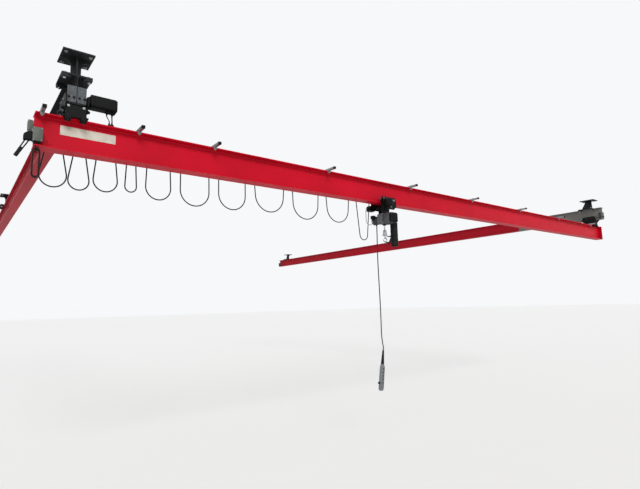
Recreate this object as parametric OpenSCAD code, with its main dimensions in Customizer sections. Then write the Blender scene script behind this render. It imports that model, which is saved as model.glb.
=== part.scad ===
// Underslung overhead crane. Two I-beam runways hang from the roof on short hangers. A bridge girder
// runs under them on two motorised carriages, and carries an electric chain hoist on a motorised
// trolley, a festoon cable on a rail behind it, and a hanging pendant control.
// Millimetres. X runs along the bridge, Y along the runways, Z is up. The origin is the middle of
// the top face of the near left hanger, where it meets the roof beam.

/* [Layout] */
// Distance between the two runways' centre planes
gauge = 10900; // [9000:100:12000]
// Distance between hangers along a runway
hanger_pitch = 6250; // [5000:50:6500]
// Hangers on each runway
hanger_count = 3; // [2:1:4]
// Left runway in front of its first hanger
runway_front_left = 110; // [110:10:200]
// Right runway in front of its first hanger
runway_front_right = 270; // [110:10:400]
// Runway beyond the last hanger
runway_rear = 650; // [400:10:900]
// Girder beyond the left runway's centre plane
girder_left = 300; // [290:10:400]
// Girder beyond the right runway's centre plane
girder_right = 400; // [300:10:500]
// Hoist's distance from the left runway at rest
hoist_x = 3940; // [3900:10:3980]

/* [Beams] */
// Height of the runway beam
runway_h = 270; // [240:10:300]
// Width of the runway beam
runway_b = 135; // [120:1:140]
// Thickness of the runway beam's flanges
runway_flange = 10.2; // [8:0.1:12]
// Thickness of the runway beam's web
runway_web = 6.6; // [5:0.1:8]
// Height of the girder
girder_h = 300; // [270:10:330]
// Width of the girder
girder_b = 150; // [140:1:152]
// Thickness of the girder's flanges
girder_flange = 10.7; // [9:0.1:12]
// Thickness of the girder's web
girder_web = 7.1; // [6:0.1:8]
// Root radius of both beams
beam_root = 15; // [10:1:16]

/* [Hangers] */
// Height of a hanger, from the roof beam to the runway
hanger_h = 210; // [180:1:230]
// Width of a hanger's top plate
hanger_top_w = 260; // [240:2:280]
// Depth of a hanger's top plate
hanger_top_d = 300; // [280:2:320]
// Width of a hanger's neck
hanger_neck_w = 86; // [70:2:110]
// Width of a hanger's foot plate
hanger_foot_w = 250; // [220:2:270]
// Foot plate in front of the hanger's middle
hanger_foot_front = 100; // [90:5:105]
// Foot plate behind the hanger's middle
hanger_foot_rear = 200; // [150:10:240]
// Thickness of a hanger's plates
hanger_plate = 12; // [10:1:16]
// Diameter of the bolt holes in a hanger's top plate
hanger_hole = 18; // [14:1:20]
// Distance between those holes along X
hanger_hole_x = 196; // [180:2:210]
// Distance between those holes along Y
hanger_hole_y = 220; // [200:2:240]

/* [Carriages] */
// Gap from the runway down to the girder
carriage_gap = 120; // [110:1:150]
// Length of a carriage's side plates
carriage_len = 300; // [280:2:340]
// Distance between a carriage's axles
carriage_axles = 100; // [84:2:100]
// Diameter of a carriage wheel's tread
carriage_wheel = 60; // [54:1:60]
// Width of the drive motor's cover
drive_w = 110; // [100:2:120]
// Height of the drive motor's cover
drive_h = 100; // [90:1:110]
// Reach of the drive motor from the runway's centre plane
drive_reach = 338; // [300:1:350]

/* [Festoon] */
// Distance of the festoon rail behind the girder's centre plane
festoon_y = 265; // [240:1:300]
// Width of the festoon rail
rail_w = 40; // [36:1:44]
// Height of the festoon rail
rail_h = 36; // [34:1:40]
// Radius of the cable's bend over a carrier
saddle_r = 60; // [54:1:64]
// Diameter of the festoon cable
festoon_d = 11; // [9:0.5:11]

/* [Hoist] */
// Diameter of a trolley wheel's tread
trolley_wheel = 70; // [60:1:74]
// Length of the trolley's side plates
trolley_len = 300; // [280:2:320]
// Diameter of the trolley's travel motor
travel_motor_d = 126; // [110:1:140]
// Length of the travel motor
travel_motor_len = 140; // [120:2:160]
// Height of the hoist's housing
hoist_h = 150; // [140:1:160]
// Width of the hoist's gear housing
hoist_w = 190; // [180:1:200]
// Height of the chain container
container_h = 330; // [300:5:340]
// Diameter of the chain container
container_d = 104; // [96:1:106]
// Wire diameter of the load chain
chain_wire = 6; // [5:0.5:6.5]
// Inner length of a chain link
chain_pitch = 18; // [17:0.5:19]
// Links of load chain that hang out of the hoist
chain_links = 7; // [5:1:8]

/* [Hook] */
// Inner radius of the hook's bowl
hook_bowl = 22; // [18:1:24]
// Thickness of the hook at its bowl
hook_section = 19; // [16:1:20]

/* [Pendant] */
// Length of the pendant's body
pendant_len = 350; // [300:10:380]
// Diameter of the pendant's cable
pendant_cable_d = 14; // [12:1:16]
// Lean of the pendant's body, which the stiff cable gives it
pendant_lean = 8; // [0:1:10]

/* [Hidden] */
$fn = 48;

red = "#c8142d";
dark_steel = "#3a3c3f";
zinc = "#a9adb0";
black = "#161718";
bright = "#d8dadb";
box_grey = "#8d9488";
pendant_grey = "#6b6e70";

// Heights, from the roof down
runway_top = -hanger_h;
runway_bottom = runway_top - runway_h;
girder_top = runway_bottom - carriage_gap;
girder_bottom = girder_top - girder_h;

// Lengths along the runways
runway_fronts = [runway_front_left, runway_front_right];
runway_far = (hanger_count - 1) * hanger_pitch + runway_rear;
girder_len = girder_left + gauge + girder_right;
sides = [0, gauge];

// Carriage: the wheels stand on the top of the runway's bottom flange, with a hair's gap
wheel_gap = 0.3;
wheel_z = runway_bottom + runway_flange + carriage_wheel / 2 + wheel_gap;
wheel_flange_x = runway_b / 2 + 5;
side_plate_x = wheel_flange_x + 10;
side_plate_t = 10;
yoke_bolt_z = runway_bottom - 35;
yoke_bolt_y = 65;
yoke_plate_t = 12;

// Trolley: the same on the girder's bottom flange
trolley_wheel_z = girder_bottom + girder_flange + trolley_wheel / 2 + wheel_gap;
trolley_flange_y = girder_b / 2 + 5;
trolley_plate_y = trolley_flange_y + 12;
trolley_plate_t = 10;
trolley_axle_x = 95;
tie_bar_x = 50;
tie_bar_z = girder_bottom - 50;

// Hoist: the chain's ways out, and the container under the chute
hoist_z = girder_bottom - 210;
hoist_bottom = hoist_z - hoist_h / 2;
chain_bore = 30;
slack_x = 115;
slack_y = -55;
container_x = 126;
container_y = -60;
container_wall = 4;
chute_h = 50;
chute_bottom = hoist_z - 15 - chute_h / 2;
container_top = chute_bottom - 14;

// Festoon: height of the bend's centre, and the carriers' places along the rail at rest
rail_top = girder_top;
rail_wall = 2.5;
rail_slot = 14;
roller_d = 22;
saddle_z = rail_top - 118;
saddle_w = 40;
parked_x = [-220, 13, 208, 483, 683];
moving_x = [1038, 1483, 1943, 2498, 3043, 3588, 3990];
carrier_x = concat(parked_x, moving_x);
// Radius of each loop's bottom bend, and how far it hangs below the bend's centre
loop_radius = [112, 90, 110, 56, 130, 165, 170, 200, 200, 190, 75];
loop_drop = [437, 438, 423, 395, 440, 459, 450, 423, 459, 448, 660];

// Arms that carry the rail: two close ones at the left, and then one every pitch
arm_pitch = 1560;
arm_first = 1333;
arm_x = concat([-250, 553], [for (i = [0:6]) arm_first + i * arm_pitch]);

// Route of the pendant's cable, from the gland under the hoist's motor down to the pendant's boot.
// It ends on the boot's axis.
pendant_x = hoist_x + 5;
pendant_y = 155;
cable_top = hoist_z - 70;
cable_end = [24, 0, -1737];
boot_axis = [sin(pendant_lean), 0, cos(pendant_lean)];
cable_route = [
    [0, 0, 0], [0, 0, -60], [-2, 0, -160], [-5, 1, -300], [-6, 2, -460], [-4, 2, -640],
    [-1, 1, -820], [2, 0, -1000], [4, -1, -1180], [4, -1, -1340], [4, 0, -1480], [9, 1, -1580],
    [20, 0, -1655], cable_end + 42 * boot_axis, cable_end + 21 * boot_axis, cable_end
];
handset_top = [pendant_x, pendant_y, cable_top] + cable_end;

// Plain shapes

// Extrudes a Y-Z outline along X
module along_x(start, length)
    translate([start, 0, 0]) rotate([90, 0, 90]) linear_extrude(length) children();

// Extrudes an X-Z outline along Y
module along_y(start, length)
    translate([0, start + length, 0]) rotate([90, 0, 0]) linear_extrude(length) children();

module rod_x(start, length, d) translate([start, 0, 0]) rotate([0, 90, 0]) cylinder(h = length, d = d);
module rod_y(start, length, d) translate([0, start, 0]) rotate([-90, 0, 0]) cylinder(h = length, d = d);

// Rectangle with round corners, centred
module round_rect(w, h, r) {
    square([w - 2 * r, h], center = true);
    square([w, h - 2 * r], center = true);
    for (sx = [-1, 1], sy = [-1, 1]) translate([sx * (w / 2 - r), sy * (h / 2 - r)]) circle(r);
}

// Rolled I-section with root fillets, centred
module i_section(h, b, web, flange, root) {
    inner_h = h - 2 * flange;
    difference() {
        square([b, h], center = true);
        for (s = [-1, 1]) {
            translate([s * (web / 2 + root + b / 2), 0]) square([b, inner_h], center = true);
            translate([s * (web / 2 + b / 2), 0]) square([b, inner_h - 2 * root], center = true);
            for (t = [-1, 1]) translate([s * (web / 2 + root), t * (inner_h / 2 - root)]) circle(root);
        }
    }
}

// Runways and what hangs them

module runway(i) color(red) translate([sides[i], 0, runway_top - runway_h / 2])
    along_y(-runway_fronts[i], runway_fronts[i] + runway_far)
        i_section(runway_h, runway_b, runway_web, runway_flange, beam_root);

// Top plate, a gusset that narrows to a neck, a rib along the runway, and a foot plate
rib_top = 60;
rib_inset = 30;

module hanger() {
    gusset_w = hanger_top_w - 36;
    scoop = (gusset_w - hanger_neck_w) / 2;
    plain_h = hanger_h - 2 * hanger_plate;
    difference() {
        translate([-hanger_top_w / 2, -hanger_top_d / 2, -hanger_plate])
            cube([hanger_top_w, hanger_top_d, hanger_plate]);
        for (sx = [-1, 1], sy = [-1, 1])
            translate([sx * hanger_hole_x / 2, sy * hanger_hole_y / 2, -hanger_plate - 1])
                cylinder(h = hanger_plate + 2, d = hanger_hole);
    }
    along_y(-hanger_plate / 2, hanger_plate) difference() {
        translate([-gusset_w / 2, -hanger_h + hanger_plate]) square([gusset_w, plain_h]);
        for (s = [-1, 1]) {
            translate([s * gusset_w / 2, -hanger_plate - 10 - scoop]) circle(scoop);
            translate([s * gusset_w / 2, -hanger_h / 2 - hanger_plate - 10 - scoop])
                square([2 * scoop, hanger_h], center = true);
        }
    }
    along_x(-hanger_plate / 2, hanger_plate) polygon([
        [-rib_top, -hanger_plate], [rib_top, -hanger_plate],
        [hanger_foot_rear - rib_inset, hanger_plate - hanger_h],
        [rib_inset - hanger_foot_front, hanger_plate - hanger_h]
    ]);
    translate([-hanger_foot_w / 2, -hanger_foot_front, -hanger_h])
        cube([hanger_foot_w, hanger_foot_front + hanger_foot_rear, hanger_plate]);
}

module at_hangers(x) for (i = [0:hanger_count - 1]) translate([x, i * hanger_pitch, 0]) children();

module hangers() color(dark_steel) for (x = sides) at_hangers(x) hanger();

// Four jaws under each foot plate hold the runway's top flange
jaw_len = 50;
jaw_y = [jaw_len / 2 - hanger_foot_front, hanger_foot_rear - jaw_len / 2];

module flange_jaw() {
    lip = 18;
    jaw_h = 28;
    along_y(-jaw_len / 2, jaw_len) polygon([
        [runway_b / 2 + 2, runway_top], [hanger_foot_w / 2, runway_top],
        [hanger_foot_w / 2, runway_top - jaw_h + 8], [hanger_foot_w / 2 - 8, runway_top - jaw_h],
        [runway_b / 2 - lip, runway_top - jaw_h], [runway_b / 2 - lip, runway_top - runway_flange - 0.5],
        [runway_b / 2 + 2, runway_top - runway_flange - 0.5]
    ]);
}

module flange_clamps() color(dark_steel)
    for (x = sides) at_hangers(x) for (s = [0, 1], y = jaw_y)
        translate([0, y, 0]) mirror([s, 0, 0]) flange_jaw();

// Angle cleats on both sides of the web close each runway end, with a rubber pad for each wheel
cleat_t = 8;
cleat_w = 73;
cleat_h = 150;
cleat_len = 80;
cleat_z = runway_bottom + 89;
// A cleat's bottom corner is cut off at the web, clear of the runway's root fillet
snipe_x = 6.5;
snipe_z = 12.5;
pad_d = 34;
pad_t = 10;
pad_x = 52;

module at_runway_ends() for (i = [0, 1]) translate([sides[i], 0, 0]) {
    translate([0, -runway_fronts[i], 0]) children();
    translate([0, runway_far, 0]) mirror([0, 1, 0]) children();
}

module cleat() translate([runway_web / 2, 0, cleat_z - cleat_h / 2]) difference() {
    union() {
        cube([cleat_t, cleat_len, cleat_h]);
        cube([cleat_w, cleat_t, cleat_h]);
    }
    along_y(-1, cleat_len + 2)
        polygon([[-snipe_x, -snipe_z], [2 * snipe_x, -snipe_z], [-snipe_x, 2 * snipe_z]]);
}

module end_stops() color(zinc) at_runway_ends() for (s = [0, 1]) mirror([s, 0, 0]) cleat();

module end_buffers() color(black) at_runway_ends() for (s = [-1, 1])
    translate([s * pad_x, 0, wheel_z]) {
        rod_y(cleat_t, pad_t - 3, pad_d);
        rod_y(cleat_t + pad_t - 3, 3, pad_d - 6);
    }

// Bridge

// The girder's right end is closed by a plate
end_plate_t = 8;

module girder() color(red) translate([0, 0, girder_top - girder_h / 2]) {
    along_x(-girder_left, girder_len) i_section(girder_h, girder_b, girder_web, girder_flange, beam_root);
    along_x(gauge + girder_right - end_plate_t, end_plate_t) square([girder_b, girder_h], center = true);
}

// Side plates on both sides of a runway's bottom flange
module carriage_plates() color(black) for (x = sides, s = [0, 1]) translate([x, 0, 0]) mirror([s, 0, 0])
    along_x(side_plate_x, side_plate_t) difference() {
        polygon([
            [-carriage_len / 2, wheel_z - 20], [-carriage_len / 2 + 30, wheel_z + 45],
            [carriage_len / 2 - 30, wheel_z + 45], [carriage_len / 2, wheel_z - 20],
            [carriage_len / 2, yoke_bolt_z + 25], [yoke_bolt_y + 35, yoke_bolt_z - 30],
            [-yoke_bolt_y - 35, yoke_bolt_z - 30], [-carriage_len / 2, yoke_bolt_z + 25]
        ]);
        for (t = [-1, 1]) {
            translate([t * carriage_axles / 2, wheel_z]) circle(d = 20.4);
            translate([t * yoke_bolt_y, yoke_bolt_z]) circle(d = 20.4);
        }
    }

// A wheel turns about Y or X: this is its outline about Z, from the tread's inner end
module flanged_wheel(tread_d, tread_w, lip_w, axle_d, axle_len) rotate_extrude() polygon([
    [0, 0], [tread_d / 2 - 3, 0], [tread_d / 2, 3], [tread_d / 2, tread_w],
    [tread_d / 2 + 6, tread_w + 1.5], [tread_d / 2 + 6, tread_w + lip_w], [20, tread_w + lip_w],
    [axle_d / 2, tread_w + lip_w], [axle_d / 2, tread_w + lip_w + axle_len], [0, tread_w + lip_w + axle_len]
]);

module carriage_wheels() color(bright) for (x = sides, s = [0, 1], t = [-1, 1])
    translate([x, t * carriage_axles / 2, wheel_z]) mirror([s, 0, 0])
        translate([wheel_flange_x - 36, 0, 0]) rotate([0, 90, 0])
            flanged_wheel(carriage_wheel, 36, 6, 20, side_plate_t + 16);

// Two bolts under the runway carry lugs, a base plate and jaws that grip the girder's top flange
module carriage_yoke() {
    bolt_reach = side_plate_x + side_plate_t + 18;
    lug_w = 180;
    base_w = 200;
    base_d = 230;
    for (t = [-1, 1]) translate([0, t * yoke_bolt_y, yoke_bolt_z]) {
        rod_x(-bolt_reach, 2 * bolt_reach, 20);
        rod_x(-side_plate_x + 1, 2 * side_plate_x - 2, 32);
        for (s = [-1, 1]) translate([s * (side_plate_x + side_plate_t + 6.5), 0, 0]) rod_x(-6, 12, 32);
    }
    for (s = [-1, 1]) along_x(s * 38 - yoke_plate_t / 2, yoke_plate_t) polygon([
        [-lug_w / 2, yoke_bolt_z + 22], [lug_w / 2, yoke_bolt_z + 22],
        [lug_w / 2, girder_top + yoke_plate_t], [-lug_w / 2, girder_top + yoke_plate_t]
    ]);
    translate([-base_w / 2, -base_d / 2, girder_top]) cube([base_w, base_d, yoke_plate_t]);
    for (s = [0, 1], x = [-62, 62]) mirror([0, s, 0]) along_x(x - 25, 50) polygon([
        [girder_b / 2 + 2, girder_top], [base_d / 2, girder_top], [base_d / 2, girder_top - 20],
        [base_d / 2 - 8, girder_top - 28], [girder_b / 2 - 18, girder_top - 28],
        [girder_b / 2 - 18, girder_top - girder_flange - 0.5],
        [girder_b / 2 + 2, girder_top - girder_flange - 0.5]
    ]);
}

module carriage_yokes() color(dark_steel) for (x = sides) translate([x, 0, 0]) carriage_yoke();

// Gearbox neck and flange, and the motor's boxy cover, on the right side of each carriage
drive_y = -18;
drive_z = wheel_z + 44.5;
drive_neck_z = wheel_z + 24.5;
drive_neck_d = 60;

module drive_motors() color(black) for (x = sides) translate([x, drive_y, 0]) {
    face = side_plate_x + side_plate_t;
    translate([0, 0, drive_neck_z]) rod_x(face, 20, drive_neck_d);
    translate([0, 0, drive_z]) {
        along_x(face + 17, 14) round_rect(80, 80, 16);
        along_x(face + 30, drive_reach - face - 42) round_rect(drive_w, drive_h, 20);
        along_x(drive_reach - 13, 13) round_rect(drive_w - 16, drive_h - 16, 18);
    }
}

// Square arms lie across the girder's top flange and carry the festoon rail
arm_w = 30;
arm_h = 26;
arm_front = -girder_b / 2 - 120;

module festoon_arms() color(zinc) for (x = arm_x) translate([x, 0, 0]) {
    translate([-arm_w / 2, arm_front, girder_top]) cube([arm_w, festoon_y + 32 - arm_front, arm_h]);
    for (s = [0, 1]) mirror([0, s, 0]) along_x(-arm_w / 2, arm_w) polygon([
        [girder_b / 2 + 1, girder_top], [girder_b / 2 + 14, girder_top],
        [girder_b / 2 + 14, girder_top - 24], [girder_b / 2 - 12, girder_top - 24],
        [girder_b / 2 - 12, girder_top - girder_flange - 0.5],
        [girder_b / 2 + 1, girder_top - girder_flange - 0.5]
    ]);
}

// C-section rail, open below
rail_start = -276;
rail_end = gauge + 340;

module festoon_rail() color(zinc) translate([0, festoon_y, rail_top - rail_h / 2])
    along_x(rail_start, rail_end - rail_start) difference() {
        square([rail_w, rail_h], center = true);
        square([rail_w - 2 * rail_wall, rail_h - 2 * rail_wall], center = true);
        translate([0, -rail_h / 2]) square([rail_slot, 3 * rail_wall], center = true);
    }

// A box in the girder's left end, and one on the end of the festoon rail
end_box_x = [-girder_left - 12, 75];
end_box_z = girder_bottom + 100;
rail_box = [45, 60, 92];
rail_box_rise = 27;

module terminal_boxes() color(box_grey) {
    translate([end_box_x[0], -girder_b / 2 - 4, end_box_z - 60])
        cube([end_box_x[1], girder_b / 2 + 4 - girder_web / 2, 120]);
    translate([rail_start, festoon_y, rail_top + rail_box_rise] - [rail_box[0], rail_box[1] / 2, rail_box[2]])
        cube(rail_box);
}

// A bracket on the end box, and two thin rods that lean out of it and hold the supply cable's end
bracket = [61, 44, 75];
bracket_z = girder_bottom + 45;
rod_root = [end_box_x[0] - 31, -40, bracket_z + 6];
rod_lean = 27;
rod_len = 170;

module supply_arm() color(black) {
    translate([end_box_x[0] - bracket[0], rod_root[1] - bracket[1] / 2, bracket_z]) cube(bracket);
    translate(rod_root) rotate([0, 180 + rod_lean, 0]) {
        for (s = [-1, 1]) translate([s * 11, 0, 0]) cylinder(h = rod_len, d = 8);
        translate([0, 0, rod_len - 26]) linear_extrude(30) round_rect(38, 20, 8);
    }
    // Peg for the spare cable
    translate([hank_x - 8, hank_y + hank_t / 2 + 2, peg_z - 8]) cube([16, 6, girder_bottom - peg_z + 8]);
    translate([hank_x, 0, peg_z]) rod_y(hank_y - hank_t / 2 - 8, hank_t + 12, peg_d);
}

// The spare length of the supply cable hangs in a hank on a peg under the girder's end
hank_w = 62;
hank_h = 235;
hank_t = 40;
hank_x = -girder_left + 22;
hank_y = -50;
hank_bundle = 24;
peg_d = 10;
hank_top = girder_bottom - 12;
peg_z = hank_top - hank_bundle - peg_d / 2 - 0.2;

module spare_cable() color("#3c1c1c")
    translate([hank_x, 0, hank_top - hank_h / 2]) along_y(hank_y - hank_t / 2, hank_t) difference() {
        round_rect(hank_w, hank_h, hank_w / 2 - 0.5);
        round_rect(hank_w - 2 * hank_bundle, hank_h - 2 * hank_bundle, hank_w / 2 - hank_bundle - 0.5);
    }

// Stops on the girder's bottom flange keep the trolley on it
stop_t = 8;
stop_x = [100 - girder_left, gauge + girder_right - 48];

module trolley_stops() color(zinc) for (x = stop_x)
    for (s = [-1, 1]) translate([x, s * 42 - 20, girder_bottom + girder_flange]) cube([stop_t, 40, 60]);

// Festoon

// Rollers in the rail, a stem through its slot, a strap over the cable and a curved saddle under it
module carrier(x) color(black) translate([x, festoon_y, 0]) {
    roller_z = rail_top - rail_h + rail_wall + roller_d / 2 + wheel_gap;
    strap_z = saddle_z + saddle_r + festoon_d / 2 + 0.5;
    for (dx = [-26, 26]) translate([dx, 0, roller_z]) {
        for (s = [-1, 1]) translate([0, s * 10.5, 0]) rod_y(-5, 10, roller_d);
        rod_y(-12, 24, 8);
    }
    translate([-38, -3, strap_z]) cube([76, 6, roller_z + 5 - strap_z]);
    translate([-24, -saddle_w / 2, strap_z]) cube([48, saddle_w, 5]);
    for (s = [-1, 1]) translate([0, s * 14, saddle_z + 40]) cylinder(h = strap_z - saddle_z - 40 + 2, d = 7);
    along_y(-saddle_w / 2, saddle_w) translate([0, saddle_z]) difference() {
        circle(saddle_r - festoon_d / 2 - 0.5);
        circle(saddle_r - festoon_d / 2 - 14);
        translate([0, -saddle_r]) square([3 * saddle_r, 2 * saddle_r], center = true);
    }
}

module parked_carriers() for (x = parked_x) carrier(x);

// The tow carrier has a pin that the hoist's tow arm pushes
tow_x = moving_x[6];
tow_pin_d = 14;
tow_pin_z = saddle_z + saddle_r - 20;

module tow_carrier() {
    carrier(tow_x);
    color(black) translate([tow_x, 0, tow_pin_z]) rod_y(festoon_y - saddle_w / 2 - 65, 66, tow_pin_d);
}

// A bend of cable in an X-Z plane, about the origin, from one angle to another, counted from +X to +Z
module cable_bend(r, from, to, d = festoon_d) rotate([90, 0, 0]) rotate([0, 0, from])
    rotate_extrude(angle = to - from) translate([r, 0]) circle(d = d);

// A loop between two carriers. Each straight stretch touches a saddle's circle and the bottom
// circle on opposite sides, and the pieces stop a hair short of each other.
cable_gap = 0.1;

module loop(i) color(black) {
    half_span = (carrier_x[i + 1] - carrier_x[i]) / 2;
    bottom_r = loop_radius[i];
    h = loop_drop[i] - bottom_r;
    reach = norm([half_span, h]);
    lean = atan2(h, half_span) - acos((bottom_r + saddle_r) / reach);
    straight = sqrt(reach * reach - pow(bottom_r + saddle_r, 2));
    translate([carrier_x[i] + half_span, festoon_y, saddle_z]) {
        for (s = [0, 1]) mirror([s, 0, 0]) translate([-half_span, 0, 0]) {
            cable_bend(saddle_r, -lean, 90 - cable_gap);
            rotate([0, lean, 0]) translate([saddle_r, 0, cable_gap - straight])
                cylinder(h = straight - 2 * cable_gap, d = festoon_d);
        }
        translate([0, 0, -h]) cable_bend(bottom_r, 180 - lean, 360 + lean);
    }
}

// The cable's first stretch runs from the box on the rail's end to the first saddle
module parked_loops() {
    color(black) translate([0, festoon_y, saddle_z + saddle_r])
        rod_x(rail_start, parked_x[0] - rail_start - cable_gap, festoon_d);
    for (i = [0:3]) loop(i);
}

// Trolley and hoist

module trolley_plates() color(black) translate([hoist_x, 0, 0]) for (s = [0, 1]) mirror([0, s, 0])
    along_y(trolley_plate_y, trolley_plate_t) difference() {
        polygon([
            [-trolley_len / 2, trolley_wheel_z - 25], [-trolley_len / 2 + 25, trolley_wheel_z + 40],
            [trolley_len / 2 - 25, trolley_wheel_z + 40], [trolley_len / 2, trolley_wheel_z - 25],
            [trolley_len / 2, tie_bar_z + 15], [100, tie_bar_z - 32], [-100, tie_bar_z - 32],
            [-trolley_len / 2, tie_bar_z + 15]
        ]);
        for (t = [-1, 1]) translate([t * trolley_axle_x, trolley_wheel_z]) circle(d = 18.4);
        for (t = [-1, 1]) translate([t * tie_bar_x, tie_bar_z]) circle(d = 22.4);
    }

module trolley_wheels() color(bright) for (s = [0, 1], t = [-1, 1])
    translate([hoist_x + t * trolley_axle_x, 0, trolley_wheel_z]) mirror([0, s, 0])
        translate([0, trolley_flange_y - 42, 0]) rotate([-90, 0, 0])
            flanged_wheel(trolley_wheel, 42, 6, 18, trolley_plate_t + 12);

// The travel motor sits on the near side plate and drives a wheel axle
travel_motor_x = hoist_x - 103;
travel_motor_z = trolley_wheel_z - 62;
travel_face = trolley_plate_y + trolley_plate_t;

module travel_motor() color(black) mirror([0, 1, 0]) {
    difference() {
        translate([travel_motor_x, 0, travel_motor_z + 8]) along_y(travel_face, 34) round_rect(76, 146, 16);
        translate([hoist_x - trolley_axle_x, 0, trolley_wheel_z]) rod_y(travel_face - 1, 16, 18.4);
    }
    translate([travel_motor_x, 0, travel_motor_z]) {
        rod_y(travel_face + 34, travel_motor_len - 62, travel_motor_d);
        rod_y(travel_face + travel_motor_len - 28, 16, travel_motor_d - 12);
        rod_y(travel_face + travel_motor_len - 12, 8, 60);
    }
}

// The tow arm reaches from the far side plate to the tow carrier, and forks round its pin
tow_arm_t = 10;
tow_arm_y = festoon_y - saddle_w / 2 - 45;
tow_arm_z = tie_bar_z + 14;

module tow_arm() color(dark_steel) {
    translate([tow_x - 20, travel_face, tow_arm_z])
        cube([40, tow_arm_y + tow_arm_t - travel_face, tow_arm_t]);
    along_y(tow_arm_y, tow_arm_t) translate([tow_x, 0]) difference() {
        translate([-20, tow_arm_z]) square([40, tow_pin_z + 14 - tow_arm_z]);
        translate([-tow_pin_d / 2 - 5, tow_pin_z - tow_pin_d / 2 - 5]) square([tow_pin_d + 10, 60]);
    }
}

// Tie bars and lugs carry the housing: a rounded end cover, a gear housing and the chain's ways out
module hoist_housing() color(black) translate([hoist_x, 0, 0]) {
    for (t = [-1, 1]) translate([t * tie_bar_x, 0, tie_bar_z]) {
        rod_y(-travel_face - 16, 2 * (travel_face + 16), 22);
        for (s = [-1, 1]) translate([0, s * (trolley_plate_y - 4.5), 0]) rod_y(-4, 8, 34);
    }
    for (y = [-30, 30]) along_y(y - 5, 10) polygon([
        [-85, tie_bar_z + 22], [85, tie_bar_z + 22], [70, hoist_z + hoist_h / 2 - 10],
        [-70, hoist_z + hoist_h / 2 - 10]
    ]);
    difference() {
        translate([0, 0, hoist_z]) {
            along_y(-190, 150) round_rect(150, 140, 28);
            along_y(-200, 10) round_rect(124, 114, 24);
            along_y(-40, 85) round_rect(hoist_w, hoist_h, 26);
        }
        translate([0, 0, hoist_bottom - 1]) cylinder(h = 50, d = chain_bore);
        translate([container_x, container_y, hoist_bottom - 1])
            cylinder(h = container_top + 4 - hoist_bottom, d = container_d + 6);
    }
    // The slack chain leaves through a short chute on the right
    difference() {
        translate([0, slack_y, chute_bottom + chute_h / 2]) along_x(70, 115) round_rect(60, chute_h, 12);
        translate([slack_x, slack_y, chute_bottom - 1]) cylinder(h = chute_h - 4, d = chain_bore);
    }
}

// Ribbed motor with an end cover, a terminal box for its lead and a gland for the pendant's cable
module hoist_motor() color(dark_steel) translate([hoist_x, 0, hoist_z]) {
    fins = 28;
    fin_r = 60;
    along_y(45, 125) {
        circle(fin_r - 9);
        for (i = [0:fins - 1])
            rotate(i * 360 / fins) translate([fin_r / 2, 0]) square([fin_r, 4], center = true);
    }
    rod_y(170, 26, 2 * fin_r);
    rod_y(196, 10, 2 * fin_r - 24);
    translate([lead_end_x - hoist_x - 17, lead_y - 30, lead_end_z - hoist_z]) cube([50, 60, 45]);
    translate([pendant_x - hoist_x, pendant_y, cable_top - hoist_z]) cylinder(h = 22, d = 26);
}

// Box for the hoist's wiring, on the far side plate
control_box_x = hoist_x - 170;
control_box_z = tie_bar_z - 40;

module control_box() color(black) translate([control_box_x, travel_face, control_box_z]) cube([100, 75, 72]);

// Slim open container for the slack chain. A bar across its mouth hangs it from the chute.
module chain_container() color(black) translate([hoist_x + container_x, container_y, container_top]) {
    difference() {
        translate([0, 0, -container_h]) cylinder(h = container_h, d = container_d);
        translate([0, 0, container_wall - container_h])
            cylinder(h = container_h, d = container_d - 2 * container_wall);
    }
    translate([14, -45, -6]) cube([16, 90, 6]);
    translate([16, -12, -6]) cube([12, 24, chute_bottom - container_top + 6]);
}

// One chain link, standing in the X-Z plane, with its inner length as the pitch
module chain_link() {
    bend_r = chain_wire * 1.15;
    straight = chain_pitch + chain_wire - 2 * bend_r;
    for (s = [0, 1]) mirror([0, 0, s]) translate([0, 0, straight / 2]) rotate([90, 0, 0])
        rotate_extrude(angle = 180) translate([bend_r, 0]) circle(d = chain_wire, $fn = 24);
    for (s = [-1, 1])
        translate([s * bend_r, 0, -straight / 2]) cylinder(h = straight, d = chain_wire, $fn = 24);
}

module chain(count) for (i = [0:count - 1])
    translate([0, 0, -i * (chain_pitch - 0.3)]) rotate([0, 0, 45 + 90 * (i % 2)]) chain_link();

slack_links = 5;

module slack_chain() color(bright)
    translate([hoist_x + slack_x, slack_y, chute_bottom]) chain(slack_links);

// Lead from the side of the control box down and up again into the motor's terminal box
lead_d = 9;
lead_top_r = 35;
lead_low_r = 65;
lead_x = control_box_x - lead_top_r;
lead_y = 150;
lead_top = tie_bar_z - 39;
lead_low = hoist_z - 5;
lead_end_x = lead_x + 2 * lead_low_r;
lead_end_z = lead_low + 25;

module hoist_lead() color(zinc) {
    translate([control_box_x, lead_y, lead_top]) cable_bend(lead_top_r, 90, 180, lead_d);
    translate([lead_x, lead_y, lead_low + cable_gap])
        cylinder(h = lead_top - lead_low - 2 * cable_gap, d = lead_d);
    translate([lead_x + lead_low_r, lead_y, lead_low]) cable_bend(lead_low_r, 180, 360, lead_d);
    translate([lead_end_x, lead_y, lead_low + cable_gap])
        cylinder(h = lead_end_z - lead_low - cable_gap, d = lead_d);
}

// Pendant

function unit(v) = v / norm(v);
function ring_frame(t) = let (u = unit(cross([0, 1, 0], t)), v = cross(t, u)) [u, v];
function route_tangent(p, i) = unit(p[min(i + 1, len(p) - 1)] - p[max(i - 1, 0)]);

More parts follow.
